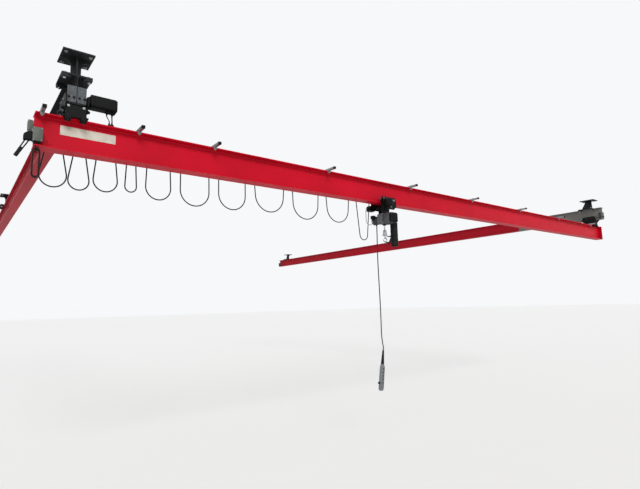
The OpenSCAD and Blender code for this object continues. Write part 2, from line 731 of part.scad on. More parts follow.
// Points of a tube of rings, and the faces that close it
function tube_points(p, r, sides) = [
    for (i = [0:len(p) - 1]) let (f = ring_frame(route_tangent(p, i)))
        for (k = [0:sides - 1]) p[i] + r[i] * (cos(360 * k / sides) * f[0] + sin(360 * k / sides) * f[1])
];
function tube_faces(rings, sides) = concat(
    [[for (k = [0:sides - 1]) k]],
    [for (i = [0:rings - 2], k = [0:sides - 1])
        let (a = i * sides + k, b = i * sides + (k + 1) % sides) [a, a + sides, b + sides, b]],
    [[for (k = [sides - 1:-1:0]) (rings - 1) * sides + k]]
);
module tube(p, r, sides) polyhedron(points = tube_points(p, r, sides), faces = tube_faces(len(p), sides));

// Smooth curve through a route's points, cut into a number of steps between each two
function curve_at(a, b, c, d, t) =
    b + t * ((c - a) / 2 + t * (a - 2.5 * b + 2 * c - d / 2 + t * ((d - a) / 2 + 1.5 * (b - c))));
function smooth_route(p, steps) = let (last = len(p) - 1) concat(
    [for (i = [0:last - 1], k = [0:steps - 1])
        curve_at(p[max(i - 1, 0)], p[i], p[i + 1], p[min(i + 2, last)], k / steps)],
    [p[last]]
);

module pendant_cable() color(black) translate([pendant_x, pendant_y, cable_top]) {
    route = smooth_route(cable_route, 3);
    tube(route, [for (p = route) pendant_cable_d / 2], 12);
}

module at_handset() translate(handset_top) rotate([0, pendant_lean, 0]) children();

// A tapered boot, then a slim body that widens towards its lower end
boot_len = 190;

module pendant_body() color(pendant_grey) at_handset() {
    translate([0, 0, -boot_len]) cylinder(h = boot_len, d1 = 40, d2 = 20);
    translate([0, -24, -boot_len]) mirror([0, 0, 1]) along_y(0, 48) polygon([
        [-22, 0], [22, 0], [30, 30], [34, pendant_len - 30], [26, pendant_len], [-26, pendant_len],
        [-34, pendant_len - 30], [-30, 30]
    ]);
}

button_pitch = 46;
module pendant_buttons() color(black) at_handset() {
    for (i = [0:4])
        translate([0, -24, -boot_len - 60 - i * button_pitch]) rotate([90, 0, 0]) cylinder(h = 9, d = 26);
    translate([-33.3, 0, -boot_len - 250]) rotate([0, -90, 0]) cylinder(h = 26, d = 30);
}

// Hook

load_chain_top = hoist_bottom + 26;

module load_chain() color(bright) translate([hoist_x, 0, load_chain_top]) chain(chain_links);

last_link_z = load_chain_top - (chain_links - 1) * (chain_pitch - 0.3);
last_link_turn = 45 + 90 * ((chain_links - 1) % 2);
chain_pin_d = 6;
chain_pin_z = last_link_z - chain_pitch / 2 + chain_pin_d / 2 + 0.2;
block_top = last_link_z + 9.5;
ball_r = 24;
collar_r = 27;
collar_h = 30;
shank_d = 16;

// Ball-shaped chain end with a pin through the last link, and a swivel collar
module hook_block() color(bright) translate([hoist_x, 0, 0]) {
    difference() {
        translate([0, 0, block_top]) rotate_extrude() {
            difference() {
                translate([0, -26]) circle(ball_r);
                translate([-60, -80]) square([60, 120]);
            }
            translate([0, -72]) square([collar_r, collar_h]);
        }
        translate([0, 0, last_link_z - 1]) cylinder(h = ball_r, d = 24);
        rotate([0, 0, last_link_turn]) translate([-11, -4.5, last_link_z - 17]) cube([22, 9, 30]);
        translate([0, 0, block_top - 73]) cylinder(h = 21, d = shank_d + 0.6);
    }
    rotate([0, 0, last_link_turn]) translate([0, 0, chain_pin_z]) rod_y(-20, 40, chain_pin_d);
}

disc_z = block_top - 76;
bowl_r = hook_bowl + hook_section / 2;
bowl_z = disc_z - 12 - 26 - bowl_r;
bowl_steps = 26;
bowl_start = 90;
bowl_sweep = 290;
// The hook's section is full at the bowl's bottom and thins to its tip
function hook_r(t) = hook_section / 2
    * (t < 0.45 ? 0.8 + 0.2 * t / 0.45 : 1 - 0.62 * pow((t - 0.45) / 0.55, 1.6));
hook_points = [for (i = [0:bowl_steps]) let (a = bowl_start - bowl_sweep * i / bowl_steps)
    [bowl_r * cos(a), 0, bowl_r * sin(a)]];

module hook() color(bright) translate([hoist_x, 0, 0]) {
    translate([0, 0, disc_z - 12]) cylinder(h = 12, d = 70);
    translate([0, 0, bowl_z + bowl_r - 4]) cylinder(h = block_top - 54 - bowl_z - bowl_r + 4, d = shank_d);
    translate([0, 0, bowl_z]) tube(hook_points, [for (i = [0:bowl_steps]) hook_r(i / bowl_steps)], 16);
}

runway(0);  // runway_left
runway(1);  // runway_right
hangers();
flange_clamps();
end_stops();
end_buffers();
girder();
carriage_plates();
carriage_wheels();
carriage_yokes();
drive_motors();
festoon_arms();
festoon_rail();
terminal_boxes();
supply_arm();
spare_cable();
parked_carriers();
parked_loops();
trolley_stops();
trolley_plates();
trolley_wheels();
travel_motor();
tow_arm();
hoist_housing();
hoist_motor();
control_box();
chain_container();
slack_chain();
hoist_lead();
pendant_cable();
pendant_body();
pendant_buttons();
load_chain();
hook_block();
hook();
carrier(moving_x[0]);  // carrier_1
carrier(moving_x[1]);  // carrier_2
carrier(moving_x[2]);  // carrier_3
carrier(moving_x[3]);  // carrier_4
carrier(moving_x[4]);  // carrier_5
carrier(moving_x[5]);  // carrier_6
tow_carrier();
loop(4);  // loop_1
loop(5);  // loop_2
loop(6);  // loop_3
loop(7);  // loop_4
loop(8);  // loop_5
loop(9);  // loop_6
loop(10);  // loop_7
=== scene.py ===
"""Looks for an underslung bridge crane: two roof-hung runways, a red girder on motorised carriages, a
chain hoist on its trolley, a festoon cable behind the girder and a pendant control.

Sizes and places are in millimetres, in the CAD's own frame, and each piece's mesh is scaled to metres
when it is finished."""

import math

import bmesh
import bpy
from mathutils import Matrix, Vector


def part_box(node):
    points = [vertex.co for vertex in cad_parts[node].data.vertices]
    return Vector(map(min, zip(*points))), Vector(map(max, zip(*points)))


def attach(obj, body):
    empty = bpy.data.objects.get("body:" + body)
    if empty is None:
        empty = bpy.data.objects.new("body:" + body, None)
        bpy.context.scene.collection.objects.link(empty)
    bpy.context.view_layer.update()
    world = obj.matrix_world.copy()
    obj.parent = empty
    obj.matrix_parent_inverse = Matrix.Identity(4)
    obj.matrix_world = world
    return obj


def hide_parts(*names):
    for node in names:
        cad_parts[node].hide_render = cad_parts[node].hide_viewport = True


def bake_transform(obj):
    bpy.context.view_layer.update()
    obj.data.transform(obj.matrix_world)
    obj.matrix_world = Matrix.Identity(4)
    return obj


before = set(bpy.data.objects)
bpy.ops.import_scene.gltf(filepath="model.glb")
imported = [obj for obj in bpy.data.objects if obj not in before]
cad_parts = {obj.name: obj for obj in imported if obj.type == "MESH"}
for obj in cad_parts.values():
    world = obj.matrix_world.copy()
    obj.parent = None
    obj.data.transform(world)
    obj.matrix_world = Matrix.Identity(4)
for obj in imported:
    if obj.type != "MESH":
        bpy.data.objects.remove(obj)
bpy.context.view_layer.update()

MM = 0.001
X, Y, Z = Vector((1, 0, 0)), Vector((0, 1, 0)), Vector((0, 0, 1))


def edges(node_name):
    """Lowest and highest corner of a CAD node, in millimetres."""
    low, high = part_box(node_name)
    return low * 1000, high * 1000


# --- Colours and finishes -------------------------------------------------------------------------


def srgb(text):
    """A hex colour as the linear values that shaders take."""
    parts = [int(text[i : i + 2], 16) / 255 for i in (1, 3, 5)]
    return [p / 12.92 if p <= 0.04045 else ((p + 0.055) / 1.055) ** 2.4 for p in parts] + [1]


def add(tree, kind, settings=None, values=None, links=None):
    """Adds one node with its settings, socket values and incoming links. A link that names a node comes
    from that node's first output."""
    made = tree.nodes.new(kind)
    for name, value in (settings or {}).items():
        setattr(made, name, value)
    for socket, value in (values or {}).items():
        made.inputs[socket].default_value = value
    for socket, source in (links or {}).items():
        if isinstance(source, bpy.types.Node):
            source = source.outputs[0]
        tree.links.new(source, made.inputs[socket])
    return made


MIX_A, MIX_B, MIX_RESULT = 6, 7, 2
MIX, RGBA = "ShaderNodeMix", {"data_type": "RGBA"}
MATH, TIMES, TIMES_PLUS = "ShaderNodeMath", {"operation": "MULTIPLY"}, {"operation": "MULTIPLY_ADD"}
RANGE = "ShaderNodeMapRange"


def finish(
    name, base, patch, roughness, patch_mm, grain_mm, grain_depth, metallic=0.0, specular=0.5, dust=0.0,
    dust_colour="#8c8580", spangle_mm=0, grey_end_to=None, end_grey="#26282a",
):
    """A surface whose colour drifts between base and patch, with a fine grain in its gloss and relief,
    and dust on what faces up. What lies nearer along Y than the given end takes a grey end colour,
    which on the left runway is a dark grey of painted shade. Sizes are real ones in millimetres."""
    made = bpy.data.materials.new(name)
    made.use_nodes = True
    tree = made.node_tree
    tree.nodes.clear()
    where = add(tree, "ShaderNodeTexCoord").outputs["Object"]
    drift, grain = (
        add(
            tree, "ShaderNodeTexNoise", values={"Scale": 1000 / size, "Detail": detail, "Roughness": rough},
            links={"Vector": where},
        )
        for size, detail, rough in ((patch_mm, 4, 0.6), (grain_mm, 3, 0.55))
    )
    spread = add(tree, RANGE, values={"From Min": 0.35, "From Max": 0.65}, links={"Value": drift})
    colour = add(tree, MIX, RGBA, {MIX_A: srgb(base), MIX_B: srgb(patch)}, {0: spread}).outputs[MIX_RESULT]
    if spangle_mm:
        spangle = {"Scale": 1000 / spangle_mm}
        cells = add(tree, "ShaderNodeTexVoronoi", values=spangle, links={"Vector": where})
        tone = add(tree, "ShaderNodeSeparateColor", links={"Color": cells.outputs["Color"]})
        inputs = {0: tone.outputs["Red"], MIX_A: colour}
        colour = add(tree, MIX, RGBA, {MIX_B: srgb(patch)}, inputs).outputs[MIX_RESULT]
        grain = add(tree, MATH, TIMES_PLUS, {1: 0.5}, {0: tone.outputs["Green"], 2: grain})
    sheen = {"From Min": 0.3, "From Max": 0.7, "To Min": roughness[0], "To Max": roughness[1]}
    gloss = add(tree, RANGE, values=sheen, links={"Value": grain})
    layers = []
    # Near ends take a grey end colour; on the left runway it is a dark grey of painted shade
    if grey_end_to:
        place = add(tree, "ShaderNodeSeparateXYZ", links={"Vector": where})
        border = {"From Min": (grey_end_to + 4) * MM, "From Max": (grey_end_to - 4) * MM}
        layers.append((add(tree, RANGE, values=border, links={"Value": place.outputs["Y"]}), end_grey, 0.25))
    if dust:
        normal = add(tree, "ShaderNodeNewGeometry").outputs["Normal"]
        slope = add(tree, "ShaderNodeSeparateXYZ", links={"Vector": normal}).outputs["Z"]
        facing_up = {"From Min": 0.5, "From Max": 1.0, "To Max": dust}
        upward = add(tree, RANGE, values=facing_up, links={"Value": slope})
        broken = add(tree, MATH, TIMES, links={0: upward, 1: spread})
        layers.append((add(tree, MATH, TIMES_PLUS, {1: 0.5}, {0: upward, 2: broken}), dust_colour, 0.5))
    # The grey end, a dark grey of painted shade on the left runway, and dust each tint the surface and make
    # it more matt
    for amount, tint, matting in layers:
        colour = add(tree, MIX, RGBA, {MIX_B: srgb(tint)}, {0: amount, MIX_A: colour}).outputs[MIX_RESULT]
        gloss = add(tree, MATH, {**TIMES_PLUS, "use_clamp": True}, {1: matting}, {0: amount, 2: gloss})
    depth = {"Strength": 0.5, "Distance": grain_depth * MM}
    relief = add(tree, "ShaderNodeBump", values=depth, links={"Height": grain})
    shader = add(
        tree, "ShaderNodeBsdfPrincipled", values={"Metallic": metallic, "Specular IOR Level": specular},
        links={"Base Color": colour, "Roughness": gloss, "Normal": relief},
    )
    add(tree, "ShaderNodeOutputMaterial", links={"Surface": shader})
    return made


# After its name, each finish gives its base and patch colours, the range of its roughness, and then the
# sizes of its patches, its grain and its relief in millimetres.

# Alkyd enamel sprayed on rolled sections: deep even red, orange peel in the reflections
ENAMEL = dict(specular=0.13, dust=0.35, dust_colour="#7e3434")
red_enamel = finish("red_girder_enamel", "#d20b29", "#c00823", (0.36, 0.52), 900, 9, 0.1, **ENAMEL)
# The same red on the runways, made darker as painted shade. Their near ends are grey: on the left one a
# dark grey that is painted shade, on the right one a pale primer.
SHADED_RED = ("#b80a25", "#a6081f", (0.4, 0.56), 900, 9, 0.1)
left_runway_shaded_red = finish("shaded_red_left_runway_enamel", *SHADED_RED, grey_end_to=1200, **ENAMEL)
right_runway_shaded_red = finish("shaded_red_right_runway_enamel", *SHADED_RED, grey_end_to=1750, end_grey="#807f7b", **ENAMEL)
# Brushed-on primer over mill scale: flat dark grey with a broken sheen
grey_primer = finish(
    "grey_steel_primer", "#242628", "#191b1c", (0.55, 0.75), 70, 4, 0.2, specular=0.25, dust=0.3,
    dust_colour="#5c5a57",
)
# Black machine enamel on cut plate: half gloss, with a trace of dust on top
black_enamel = finish(
    "black_machine_enamel", "#0b0c0d", "#080809", (0.5, 0.66), 90, 5, 0.15, specular=0.15, dust=0.1,
    dust_colour="#4c4a48",
)
# Hot-dip galvanised steel: pale spangled zinc
zinc_spangle = finish(
    "galvanised_steel", "#a4a8aa", "#8a8f92", (0.38, 0.58), 60, 5, 0.06, metallic=0.75, spangle_mm=11,
)
# Galvanised angle cleats, weathered to a dull mid grey
weathered_zinc = finish(
    "weathered_zinc", "#6a6e70", "#515557", (0.5, 0.68), 45, 5, 0.1, metallic=0.3, specular=0.3,
    spangle_mm=14,
)
# Zinc-plated bolts: small bright facets
plated_bolt = finish("zinc_plated_bolts", "#b9bcbd", "#9a9d9e", (0.25, 0.4), 12, 3, 0.05, metallic=0.9)
# Blackened bolts on the painted steelwork
black_bolt = finish(
    "blackened_bolts", "#1c1d1e", "#121314", (0.4, 0.55), 12, 3, 0.05, metallic=0.4, specular=0.3,
)
# Drop-forged, tumbled and plated steel: bright with a soft pebbled sheen
forged_steel = finish("bright_forged_steel", "#b6babc", "#9a9ea1", (0.26, 0.42), 25, 3, 0.12, metallic=0.6)
# Turned wheel treads, rubbed bright where they run
turned_steel = finish("turned_wheel_steel", "#a6a8aa", "#7d8083", (0.3, 0.5), 18, 2.5, 0.08, metallic=0.85)
# Moulded ABS covers: fine spark-eroded texture, drawn at 1.6 mm to show
black_abs = finish(
    "black_moulded_abs", "#0b0c0d", "#080808", (0.5, 0.64), 120, 1.6, 0.08, specular=0.15, dust=0.08,
    dust_colour="#4a4846",
)
# Polycarbonate terminal boxes, yellowed grey-green, made darker than their own colour, in part as painted
# shade
shaded_grey_box_plastic = finish(
    "shaded_grey_moulded_polycarbonate", "#555950", "#474b43", (0.4, 0.55), 60, 1.8, 0.06, dust=0.3,
)
# Pendant handset: mid grey nylon, handled smooth
grey_nylon = finish("grey_moulded_nylon", "#7d8182", "#6c7071", (0.38, 0.55), 50, 1.6, 0.08)
# The handset's buttons: the same nylon, darker
dark_nylon = finish("dark_grey_moulded_nylon", "#515455", "#454849", (0.38, 0.55), 50, 1.6, 0.08)
# Moulded rubber: matt, nearly black
black_rubber = finish("black_moulded_rubber", "#0f0f0f", "#0a0a0a", (0.62, 0.8), 20, 2, 0.1, specular=0.25)
# Neoprene cable sheath: satin black with faint strand ripple
black_sheath = finish(
    "black_neoprene_sheath", "#0f0f10", "#0a0a0b", (0.42, 0.56), 40, 4, 0.15, specular=0.25,
)
# PVC sheath of the hoist's own lead
pale_sheath = finish("pale_grey_pvc_sheath", "#9fa1a2", "#8b8e90", (0.4, 0.55), 30, 3, 0.08)
# PVC sheath of the spare supply cable
brown_sheath = finish("dark_red_pvc_sheath", "#3a1214", "#260a0c", (0.42, 0.58), 30, 3, 0.08, specular=0.25)
# Ribbed die-cast aluminium, sprayed grey
grey_casting = finish(
    "sprayed_grey_casting", "#67696c", "#55585b", (0.4, 0.6), 40, 2.5, 0.2, metallic=0.25, dust=0.3,
)
# Off-white vinyl plate with nothing on it
bare_plate = finish("off_white_vinyl_plate", "#d8d2c4", "#c6bfb0", (0.3, 0.45), 80, 3, 0.04)


# --- Mesh making ----------------------------------------------------------------------------------


BOTH = (-1, 1)
CORNERS = [(a, b) for a in BOTH for b in BOTH]
CORNER_STEPS = 6
AXIS_R = 0.01


def add_rings(bm, rings):
    """Joins rings of points into a skin, with flat caps at both ends."""
    rows = [[bm.verts.new(p) for p in ring] for ring in rings]
    for a, b in zip(rows, rows[1:]):
        for i in range(len(a)):
            j = (i + 1) % len(a)
            bm.faces.new((a[i], a[j], b[j], b[i]))
    bm.faces.new(reversed(rows[0]))
    bm.faces.new(rows[-1])


def round_angles(count):
    return [2 * math.pi * k / count for k in range(count)]


def swept(bm, path, radius, sides=12):
    """A round tube along a path. The ring turns with the path and never twists about it."""
    points = [Vector(p) for p in path]
    radii = radius if isinstance(radius, list) else [radius] * len(points)
    tangents = [
        (points[min(i + 1, len(points) - 1)] - points[max(i - 1, 0)]).normalized() for i in range(len(points))
    ]
    side = tangents[0].orthogonal().normalized()
    rings = []
    for point, tangent, r in zip(points, tangents, radii):
        side = (side - tangent * side.dot(tangent)).normalized()
        up = tangent.cross(side)
        rings.append([point + r * (math.cos(a) * side + math.sin(a) * up) for a in round_angles(sides)])
    add_rings(bm, rings)


def turned(bm, profile, axis, at, steps=32):
    """Turns (radius, height) points about an axis through a point."""
    turn = Z.rotation_difference(Vector(axis)).to_matrix().to_4x4()
    place = Matrix.Translation(Vector(at)) @ turn
    angles = round_angles(steps)
    rings = []
    for radius, height in profile:
        r = max(radius, AXIS_R)
        rings.append([place @ Vector((r * math.cos(a), r * math.sin(a), height)) for a in angles])
    add_rings(bm, rings)


def ease_edges(bm, corners, edge, steps):
    """Rounds the edges that meet at some corners."""
    if edge:
        rim = list({e for v in corners for e in v.link_edges})
        bmesh.ops.bevel(
            bm, geom=rim, offset=edge, segments=steps, profile=0.5, affect="EDGES", clamp_overlap=True,
        )


def slab(bm, low, high, edge=1.5, steps=2):
    """A block between two corners with rounded edges."""
    low, high = Vector(low), Vector(high)
    place = Matrix.Translation((low + high) / 2) @ Matrix.Diagonal((*(high - low), 1))
    ease_edges(bm, bmesh.ops.create_cube(bm, size=1, matrix=place)["verts"], edge, steps)


def rounded_outline(width, height, radius):
    """Points round a rectangle with round corners, about its middle."""
    points = []
    for sx, sy, start in ((1, 1, 0), (-1, 1, 90), (-1, -1, 180), (1, -1, 270)):
        u, v = sx * (width / 2 - radius), sy * (height / 2 - radius)
        for k in range(CORNER_STEPS + 1):
            a = math.radians(start + 90 * k / CORNER_STEPS)
            points.append((u + radius * math.cos(a), v + radius * math.sin(a)))
    return points


def along(axis, at, u, v, h):
    """A point h along an axis, with u and v across it, seen with Z or Y up."""
    x, y, z = at
    return {"x": (x + h, y + u, z + v), "y": (x + u, y + h, z + v), "z": (x + u, y + v, z + h)}[axis]


def shell(bm, axis, at, sections):
    """A skin through rounded rectangles: sections are (place along the axis, width, height, radius)."""
    rings = []
    for h, w, t, r in sections:
        rings.append([along(axis, at, u, v, h) for u, v in rounded_outline(w, t, min(r, w / 2, t / 2))])
    add_rings(bm, rings)


def eased(start, end, width, height, radius, edge, steps=4):
    """Sections of a block whose two ends are rounded over by an edge radius."""
    sections = []
    for k in range(steps + 1):
        a = math.radians(90 * k / steps)
        inset = edge * (1 - math.sin(a))
        sections.append(
            (start + edge * (1 - math.cos(a)), width - 2 * inset, height - 2 * inset, max(radius - inset, 1))
        )
    return sections + [(start + end - h, w, t, r) for h, w, t, r in reversed(sections)]


def plate(bm, outline, axis, start, thickness, edge=0.8):
    """A flat plate from an outline across an axis, with eased edges."""
    ring = [bm.verts.new(along(axis, (0, 0, 0), u, v, start)) for u, v in outline]
    made = bmesh.ops.extrude_face_region(bm, geom=[bm.faces.new(ring)])
    top = [g for g in made["geom"] if isinstance(g, bmesh.types.BMVert)]
    bmesh.ops.translate(bm, verts=top, vec={"x": X, "y": Y, "z": Z}[axis] * thickness)
    ease_edges(bm, ring + top, edge, 1)


def piece(name, bm, material, body, replaces=(), smooth=35):
    """Turns a bmesh in millimetres into a finished object in metres that rides on a body."""
    bmesh.ops.remove_doubles(bm, verts=bm.verts, dist=0.02)
    bmesh.ops.recalc_face_normals(bm, faces=bm.faces)
    mesh = bpy.data.meshes.new(name)
    bm.to_mesh(mesh)
    bm.free()
    mesh.transform(Matrix.Scale(MM, 4))
    return placed(name, mesh, material, body, replaces, smooth)


def placed(name, mesh, material, body, replaces=(), smooth=35):
    """Links a mesh as an object, smooths it up to an angle and puts it on its body."""
    mesh.polygons.foreach_set("use_smooth", [True] * len(mesh.polygons))
    mesh.set_sharp_from_angle(angle=math.radians(smooth))
    if material:
        mesh.materials.clear()
        mesh.materials.append(material)
    made = bpy.data.objects.new(name, mesh)
    bpy.context.scene.collection.objects.link(made)
    if body:
        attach(made, body)
    if replaces:
        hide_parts(*replaces)
    return made


# --- Repeats, made by geometry nodes ---------------------------------------------------------------


def new_tree(name, sizes):
    """A geometry tree with named float inputs. Returns the tree, its input node and its output node."""
    tree = bpy.data.node_groups.new(name, "GeometryNodeTree")
    tree.interface.new_socket("Geometry", in_out="INPUT", socket_type="NodeSocketGeometry")
    for label in sizes:
        tree.interface.new_socket(label, in_out="INPUT", socket_type="NodeSocketFloat")
    tree.interface.new_socket("Finish", in_out="INPUT", socket_type="NodeSocketMaterial")
    tree.interface.new_socket("Geometry", in_out="OUTPUT", socket_type="NodeSocketGeometry")
    return tree, add(tree, "NodeGroupInput"), add(tree, "NodeGroupOutput")


def close_tree(tree, given, result, points, copied, turn):
    """Ends a tree with turned copies on its points, Realize Instances and Set Material."""
    places = {"Points": points, "Instance": copied, "Rotation": turn}
    copies = add(tree, "GeometryNodeInstanceOnPoints", links=places)
    real = add(tree, "GeometryNodeRealizeInstances", links={"Geometry": copies})
    inputs = {"Geometry": real, "Material": given.outputs["Finish"]}
    painted = add(tree, "GeometryNodeSetMaterial", links=inputs)
    tree.links.new(painted.outputs["Geometry"], result.inputs["Geometry"])


def grown(name, tree, start_mesh, sizes, material, body, replaces=(), smooth=35, adjust=None):
    """Runs a geometry tree on a start mesh and keeps the result as a plain mesh on its body."""
    seed = bpy.data.objects.new(name + "_seed", start_mesh)
    bpy.context.scene.collection.objects.link(seed)
    modifier = seed.modifiers.new("grow", "NODES")
    modifier.node_group = tree
    sockets = {
        s.name: s.identifier for s in tree.interface.items_tree
        if s.in_out == "INPUT" and s.socket_type != "NodeSocketGeometry"
    }
    for label, value in sizes.items():
        modifier[sockets[label]] = value
    modifier[sockets["Finish"]] = material
    depsgraph = bpy.context.evaluated_depsgraph_get()
    mesh = bpy.data.meshes.new_from_object(seed.evaluated_get(depsgraph), depsgraph=depsgraph)
    mesh.name = name
    bpy.data.objects.remove(seed)
    if adjust:
        adjust(mesh)
    return placed(name, mesh, material, body, replaces, smooth)


# A bolt's sizes as shares of its thread
BOLT_SHARES = {"Across Flats": 1.5, "Head": 0.65, "Washer": 1.0, "Stud": 0.5}
CYLINDER = "GeometryNodeMeshCylinder"


def bolt_tree():
    """A hex head with a washer and a stud's end on every point, along the point's own axis."""
    tree, given, result = new_tree("hex_bolts", BOLT_SHARES)
    flats, tall, washer_r, stud_length = (given.outputs[label] for label in BOLT_SHARES)
    half, lift, crown_height, washer_height, stud_r = (
        add(tree, MATH, TIMES, {1: share}, {0: size})
        for size, share in ((flats, 0.5774), (tall, 0.5), (tall, 0.15), (tall, 0.25), (flats, 0.33))
    )
    chamfer = add(tree, MATH, TIMES, {1: 0.88}, {0: half})
    cone = {"Radius Top": chamfer, "Radius Bottom": half, "Depth": crown_height}
    head = add(tree, CYLINDER, values={"Vertices": 6}, links={"Radius": half, "Depth": tall})
    crown = add(tree, "GeometryNodeMeshCone", values={"Vertices": 6}, links=cone)
    washer = add(tree, CYLINDER, values={"Vertices": 20}, links={"Radius": washer_r, "Depth": washer_height})
    stud = add(tree, CYLINDER, values={"Vertices": 12}, links={"Radius": stud_r, "Depth": stud_length})
    bolt = add(tree, "GeometryNodeJoinGeometry")
    for part, height in ((head, lift), (crown, tall), (washer, None), (stud, tall)):
        if height is not None:
            point = add(tree, "ShaderNodeCombineXYZ", links={"Z": height})
            part = add(tree, "GeometryNodeTransform", links={"Geometry": part, "Translation": point})
        tree.links.new(part.outputs[0], bolt.inputs["Geometry"])
    axis = add(tree, "GeometryNodeInputNamedAttribute", {"data_type": "FLOAT_VECTOR"}, {"Name": "axis"})
    turn = add(tree, "FunctionNodeAlignRotationToVector", {"axis": "Z"}, links={"Vector": axis})
    close_tree(tree, given, result, given, bolt, turn)
    return tree


hex_bolts = bolt_tree()


def bolts(name, places, size, body, material=plated_bolt):
    """Hex bolts of a thread size at (point, axis) places."""
    mesh = bpy.data.meshes.new(name)
    mesh.from_pydata([Vector(p) * MM for p, _ in places], [], [])
    axes = mesh.attributes.new("axis", "FLOAT_VECTOR", "POINT")
    for i, (_, axis) in enumerate(places):
        axes.data[i].vector = Vector(axis)
    sizes = {label: share * size * MM for label, share in BOLT_SHARES.items()}
    return grown(name, hex_bolts, mesh, sizes, material, body, smooth=30)


def chain_tree():
    """Round-wire links down a line, each turned a quarter from the one above."""
    tree, given, result = new_tree("chain_links", ["Wire", "Inner Length", "Bend"])
    wire, inner, bend = (given.outputs[label] for label in ("Wire", "Inner Length", "Bend"))
    tall = add(tree, MATH, {"operation": "ADD"}, links={0: inner, 1: wire})
    wide = add(tree, MATH, TIMES, {1: 2.0}, {0: bend})
    outline = add(tree, "GeometryNodeCurvePrimitiveQuadrilateral", links={"Width": wide, "Height": tall})
    nearly = add(tree, MATH, TIMES, {1: 0.995}, {0: bend})
    round_off = {"Curve": outline, "Radius": nearly}
    stadium = add(tree, "GeometryNodeFilletCurve", {"mode": "POLY"}, {"Count": 4}, round_off)
    half_wire = add(tree, MATH, TIMES, {1: 0.5}, {0: wire})
    circle, by_radius = "GeometryNodeCurvePrimitiveCircle", {"mode": "RADIUS"}
    section = add(tree, circle, by_radius, {"Resolution": 8}, {"Radius": half_wire})
    link = add(tree, "GeometryNodeCurveToMesh", links={"Curve": stadium, "Profile Curve": section})
    on_end = {"Rotation": (math.pi / 2, 0, 0)}
    upright = add(tree, "GeometryNodeTransform", values=on_end, links={"Geometry": link})
    index = add(tree, "GeometryNodeInputIndex")
    odd = add(tree, MATH, {"operation": "MODULO"}, {1: 2.0}, {0: index})
    angle = add(tree, MATH, TIMES_PLUS, {1: math.pi / 2, 2: math.pi / 4}, {0: odd})
    turn = add(tree, "ShaderNodeCombineXYZ", links={"Z": angle})
    close_tree(tree, given, result, given, upright, turn)
    return tree


round_links = chain_tree()
CHAIN_WIRE, CHAIN_INNER, CHAIN_PITCH = 6.0, 18.0, 17.7
CHAIN_SIZES = {"Wire": CHAIN_WIRE * MM, "Inner Length": CHAIN_INNER * MM, "Bend": 1.15 * CHAIN_WIRE * MM}


def chain(name, top, count, body, replaces=(), adjust=None):
    """A hanging chain of count links, the first one's middle at the top point."""
    mesh = bpy.data.meshes.new(name)
    mesh.from_pydata([(Vector(top) - Z * CHAIN_PITCH * i) * MM for i in range(count)], [], [])
    return grown(
        name, round_links, mesh, CHAIN_SIZES, forged_steel, body, replaces, 60, adjust,
    )


# --- Places that more than one piece needs ---------------------------------------------------------

girder_low, girder_high = edges("girder")
GIRDER_TOP, GIRDER_BOTTOM = girder_high.z, girder_low.z
GIRDER_HALF = girder_high.y
WEB_HALF = 3.55
runway_low, runway_high = edges("runway_left")
RUNWAY_TOP, RUNWAY_BOTTOM = runway_high.z, runway_low.z
GAUGE = 10900
SIDES = (0, GAUGE)
HANGER_Y = (0, 6250, 12500)
HOIST_X = 3940
rail_low, rail_high = edges("festoon_rail")
RAIL_Y = (rail_low.y + rail_high.y) / 2

# --- Cords: the festoon, the pendant's cable, the leads and the hank --------------------------------

FESTOON_D = 12.5
SADDLE_R = 60
SADDLE_Z = rail_high.z - 118
PARKED_X = [-220, 13, 208, 483, 683]
moving_nodes = [f"carrier_{k}" for k in range(1, 7)] + ["tow_carrier"]
MOVING_X = [sum(e.x for e in edges(n)) / 2 for n in moving_nodes]
CARRIER_X = PARKED_X + MOVING_X
LOOP_RADIUS = [112, 90, 110, 56, 130, 165, 170, 200, 200, 190, 75]
LOOP_DROP = [437, 438, 423, 395, 440, 459, 450, 423, 459, 448, 660]
CORD_STEP = 12


def arc(centre, radius, start, end):
    """Points along a bend in the rail's own upright plane, angles in degrees from +X to +Z."""
    x, y, z = centre
    count = max(2, math.ceil(abs(math.radians(end - start)) * radius / CORD_STEP))
    angles = [math.radians(start + (end - start) * k / count) for k in range(count + 1)]
    return [Vector((x + radius * math.cos(a), y, z + radius * math.sin(a))) for a in angles]


def festoon_loop(i):
    """Route of the loop between carriers i and i + 1, from one saddle's top to the next one's."""
    start, end = CARRIER_X[i], CARRIER_X[i + 1]
    half = (end - start) / 2
    fall = LOOP_DROP[i] - LOOP_RADIUS[i]
    reach = math.hypot(half, fall)
    lean = math.degrees(math.atan2(fall, half) - math.acos((LOOP_RADIUS[i] + SADDLE_R) / reach))
    first = arc((start, RAIL_Y, SADDLE_Z), SADDLE_R, 90, -lean)
    low = arc((start + half, RAIL_Y, SADDLE_Z - fall), LOOP_RADIUS[i], 180 - lean, 360 + lean)
    last = arc((end, RAIL_Y, SADDLE_Z), SADDLE_R, 180 + lean, 90)
    return even(first + low + last)


def even(points, step=CORD_STEP):
    """The same route cut into even steps."""
    total = route_length(points)
    count = max(2, round(total / step))
    result, walked, k = [points[0].copy()], 0.0, 0
    for i in range(1, count):
        wanted = total * i / count
        while walked + (points[k + 1] - points[k]).length < wanted:
            walked += (points[k + 1] - points[k]).length
            k += 1
        leg = points[k + 1] - points[k]
        result.append(points[k] + leg * ((wanted - walked) / leg.length))
    return result + [points[-1].copy()]


def route_length(points):
    return sum((b - a).length for a, b in zip(points, points[1:]))


def softened(points, rounds, hold=2):
    """Evens out a route's bends. The first and last few points stay."""
    for _ in range(rounds):
        points = (
            points[:hold]
            + [(points[i - 1] + points[i] * 2 + points[i + 1]) / 4 for i in range(hold, len(points) - hold)]
            + points[-hold:]
        )
    return points


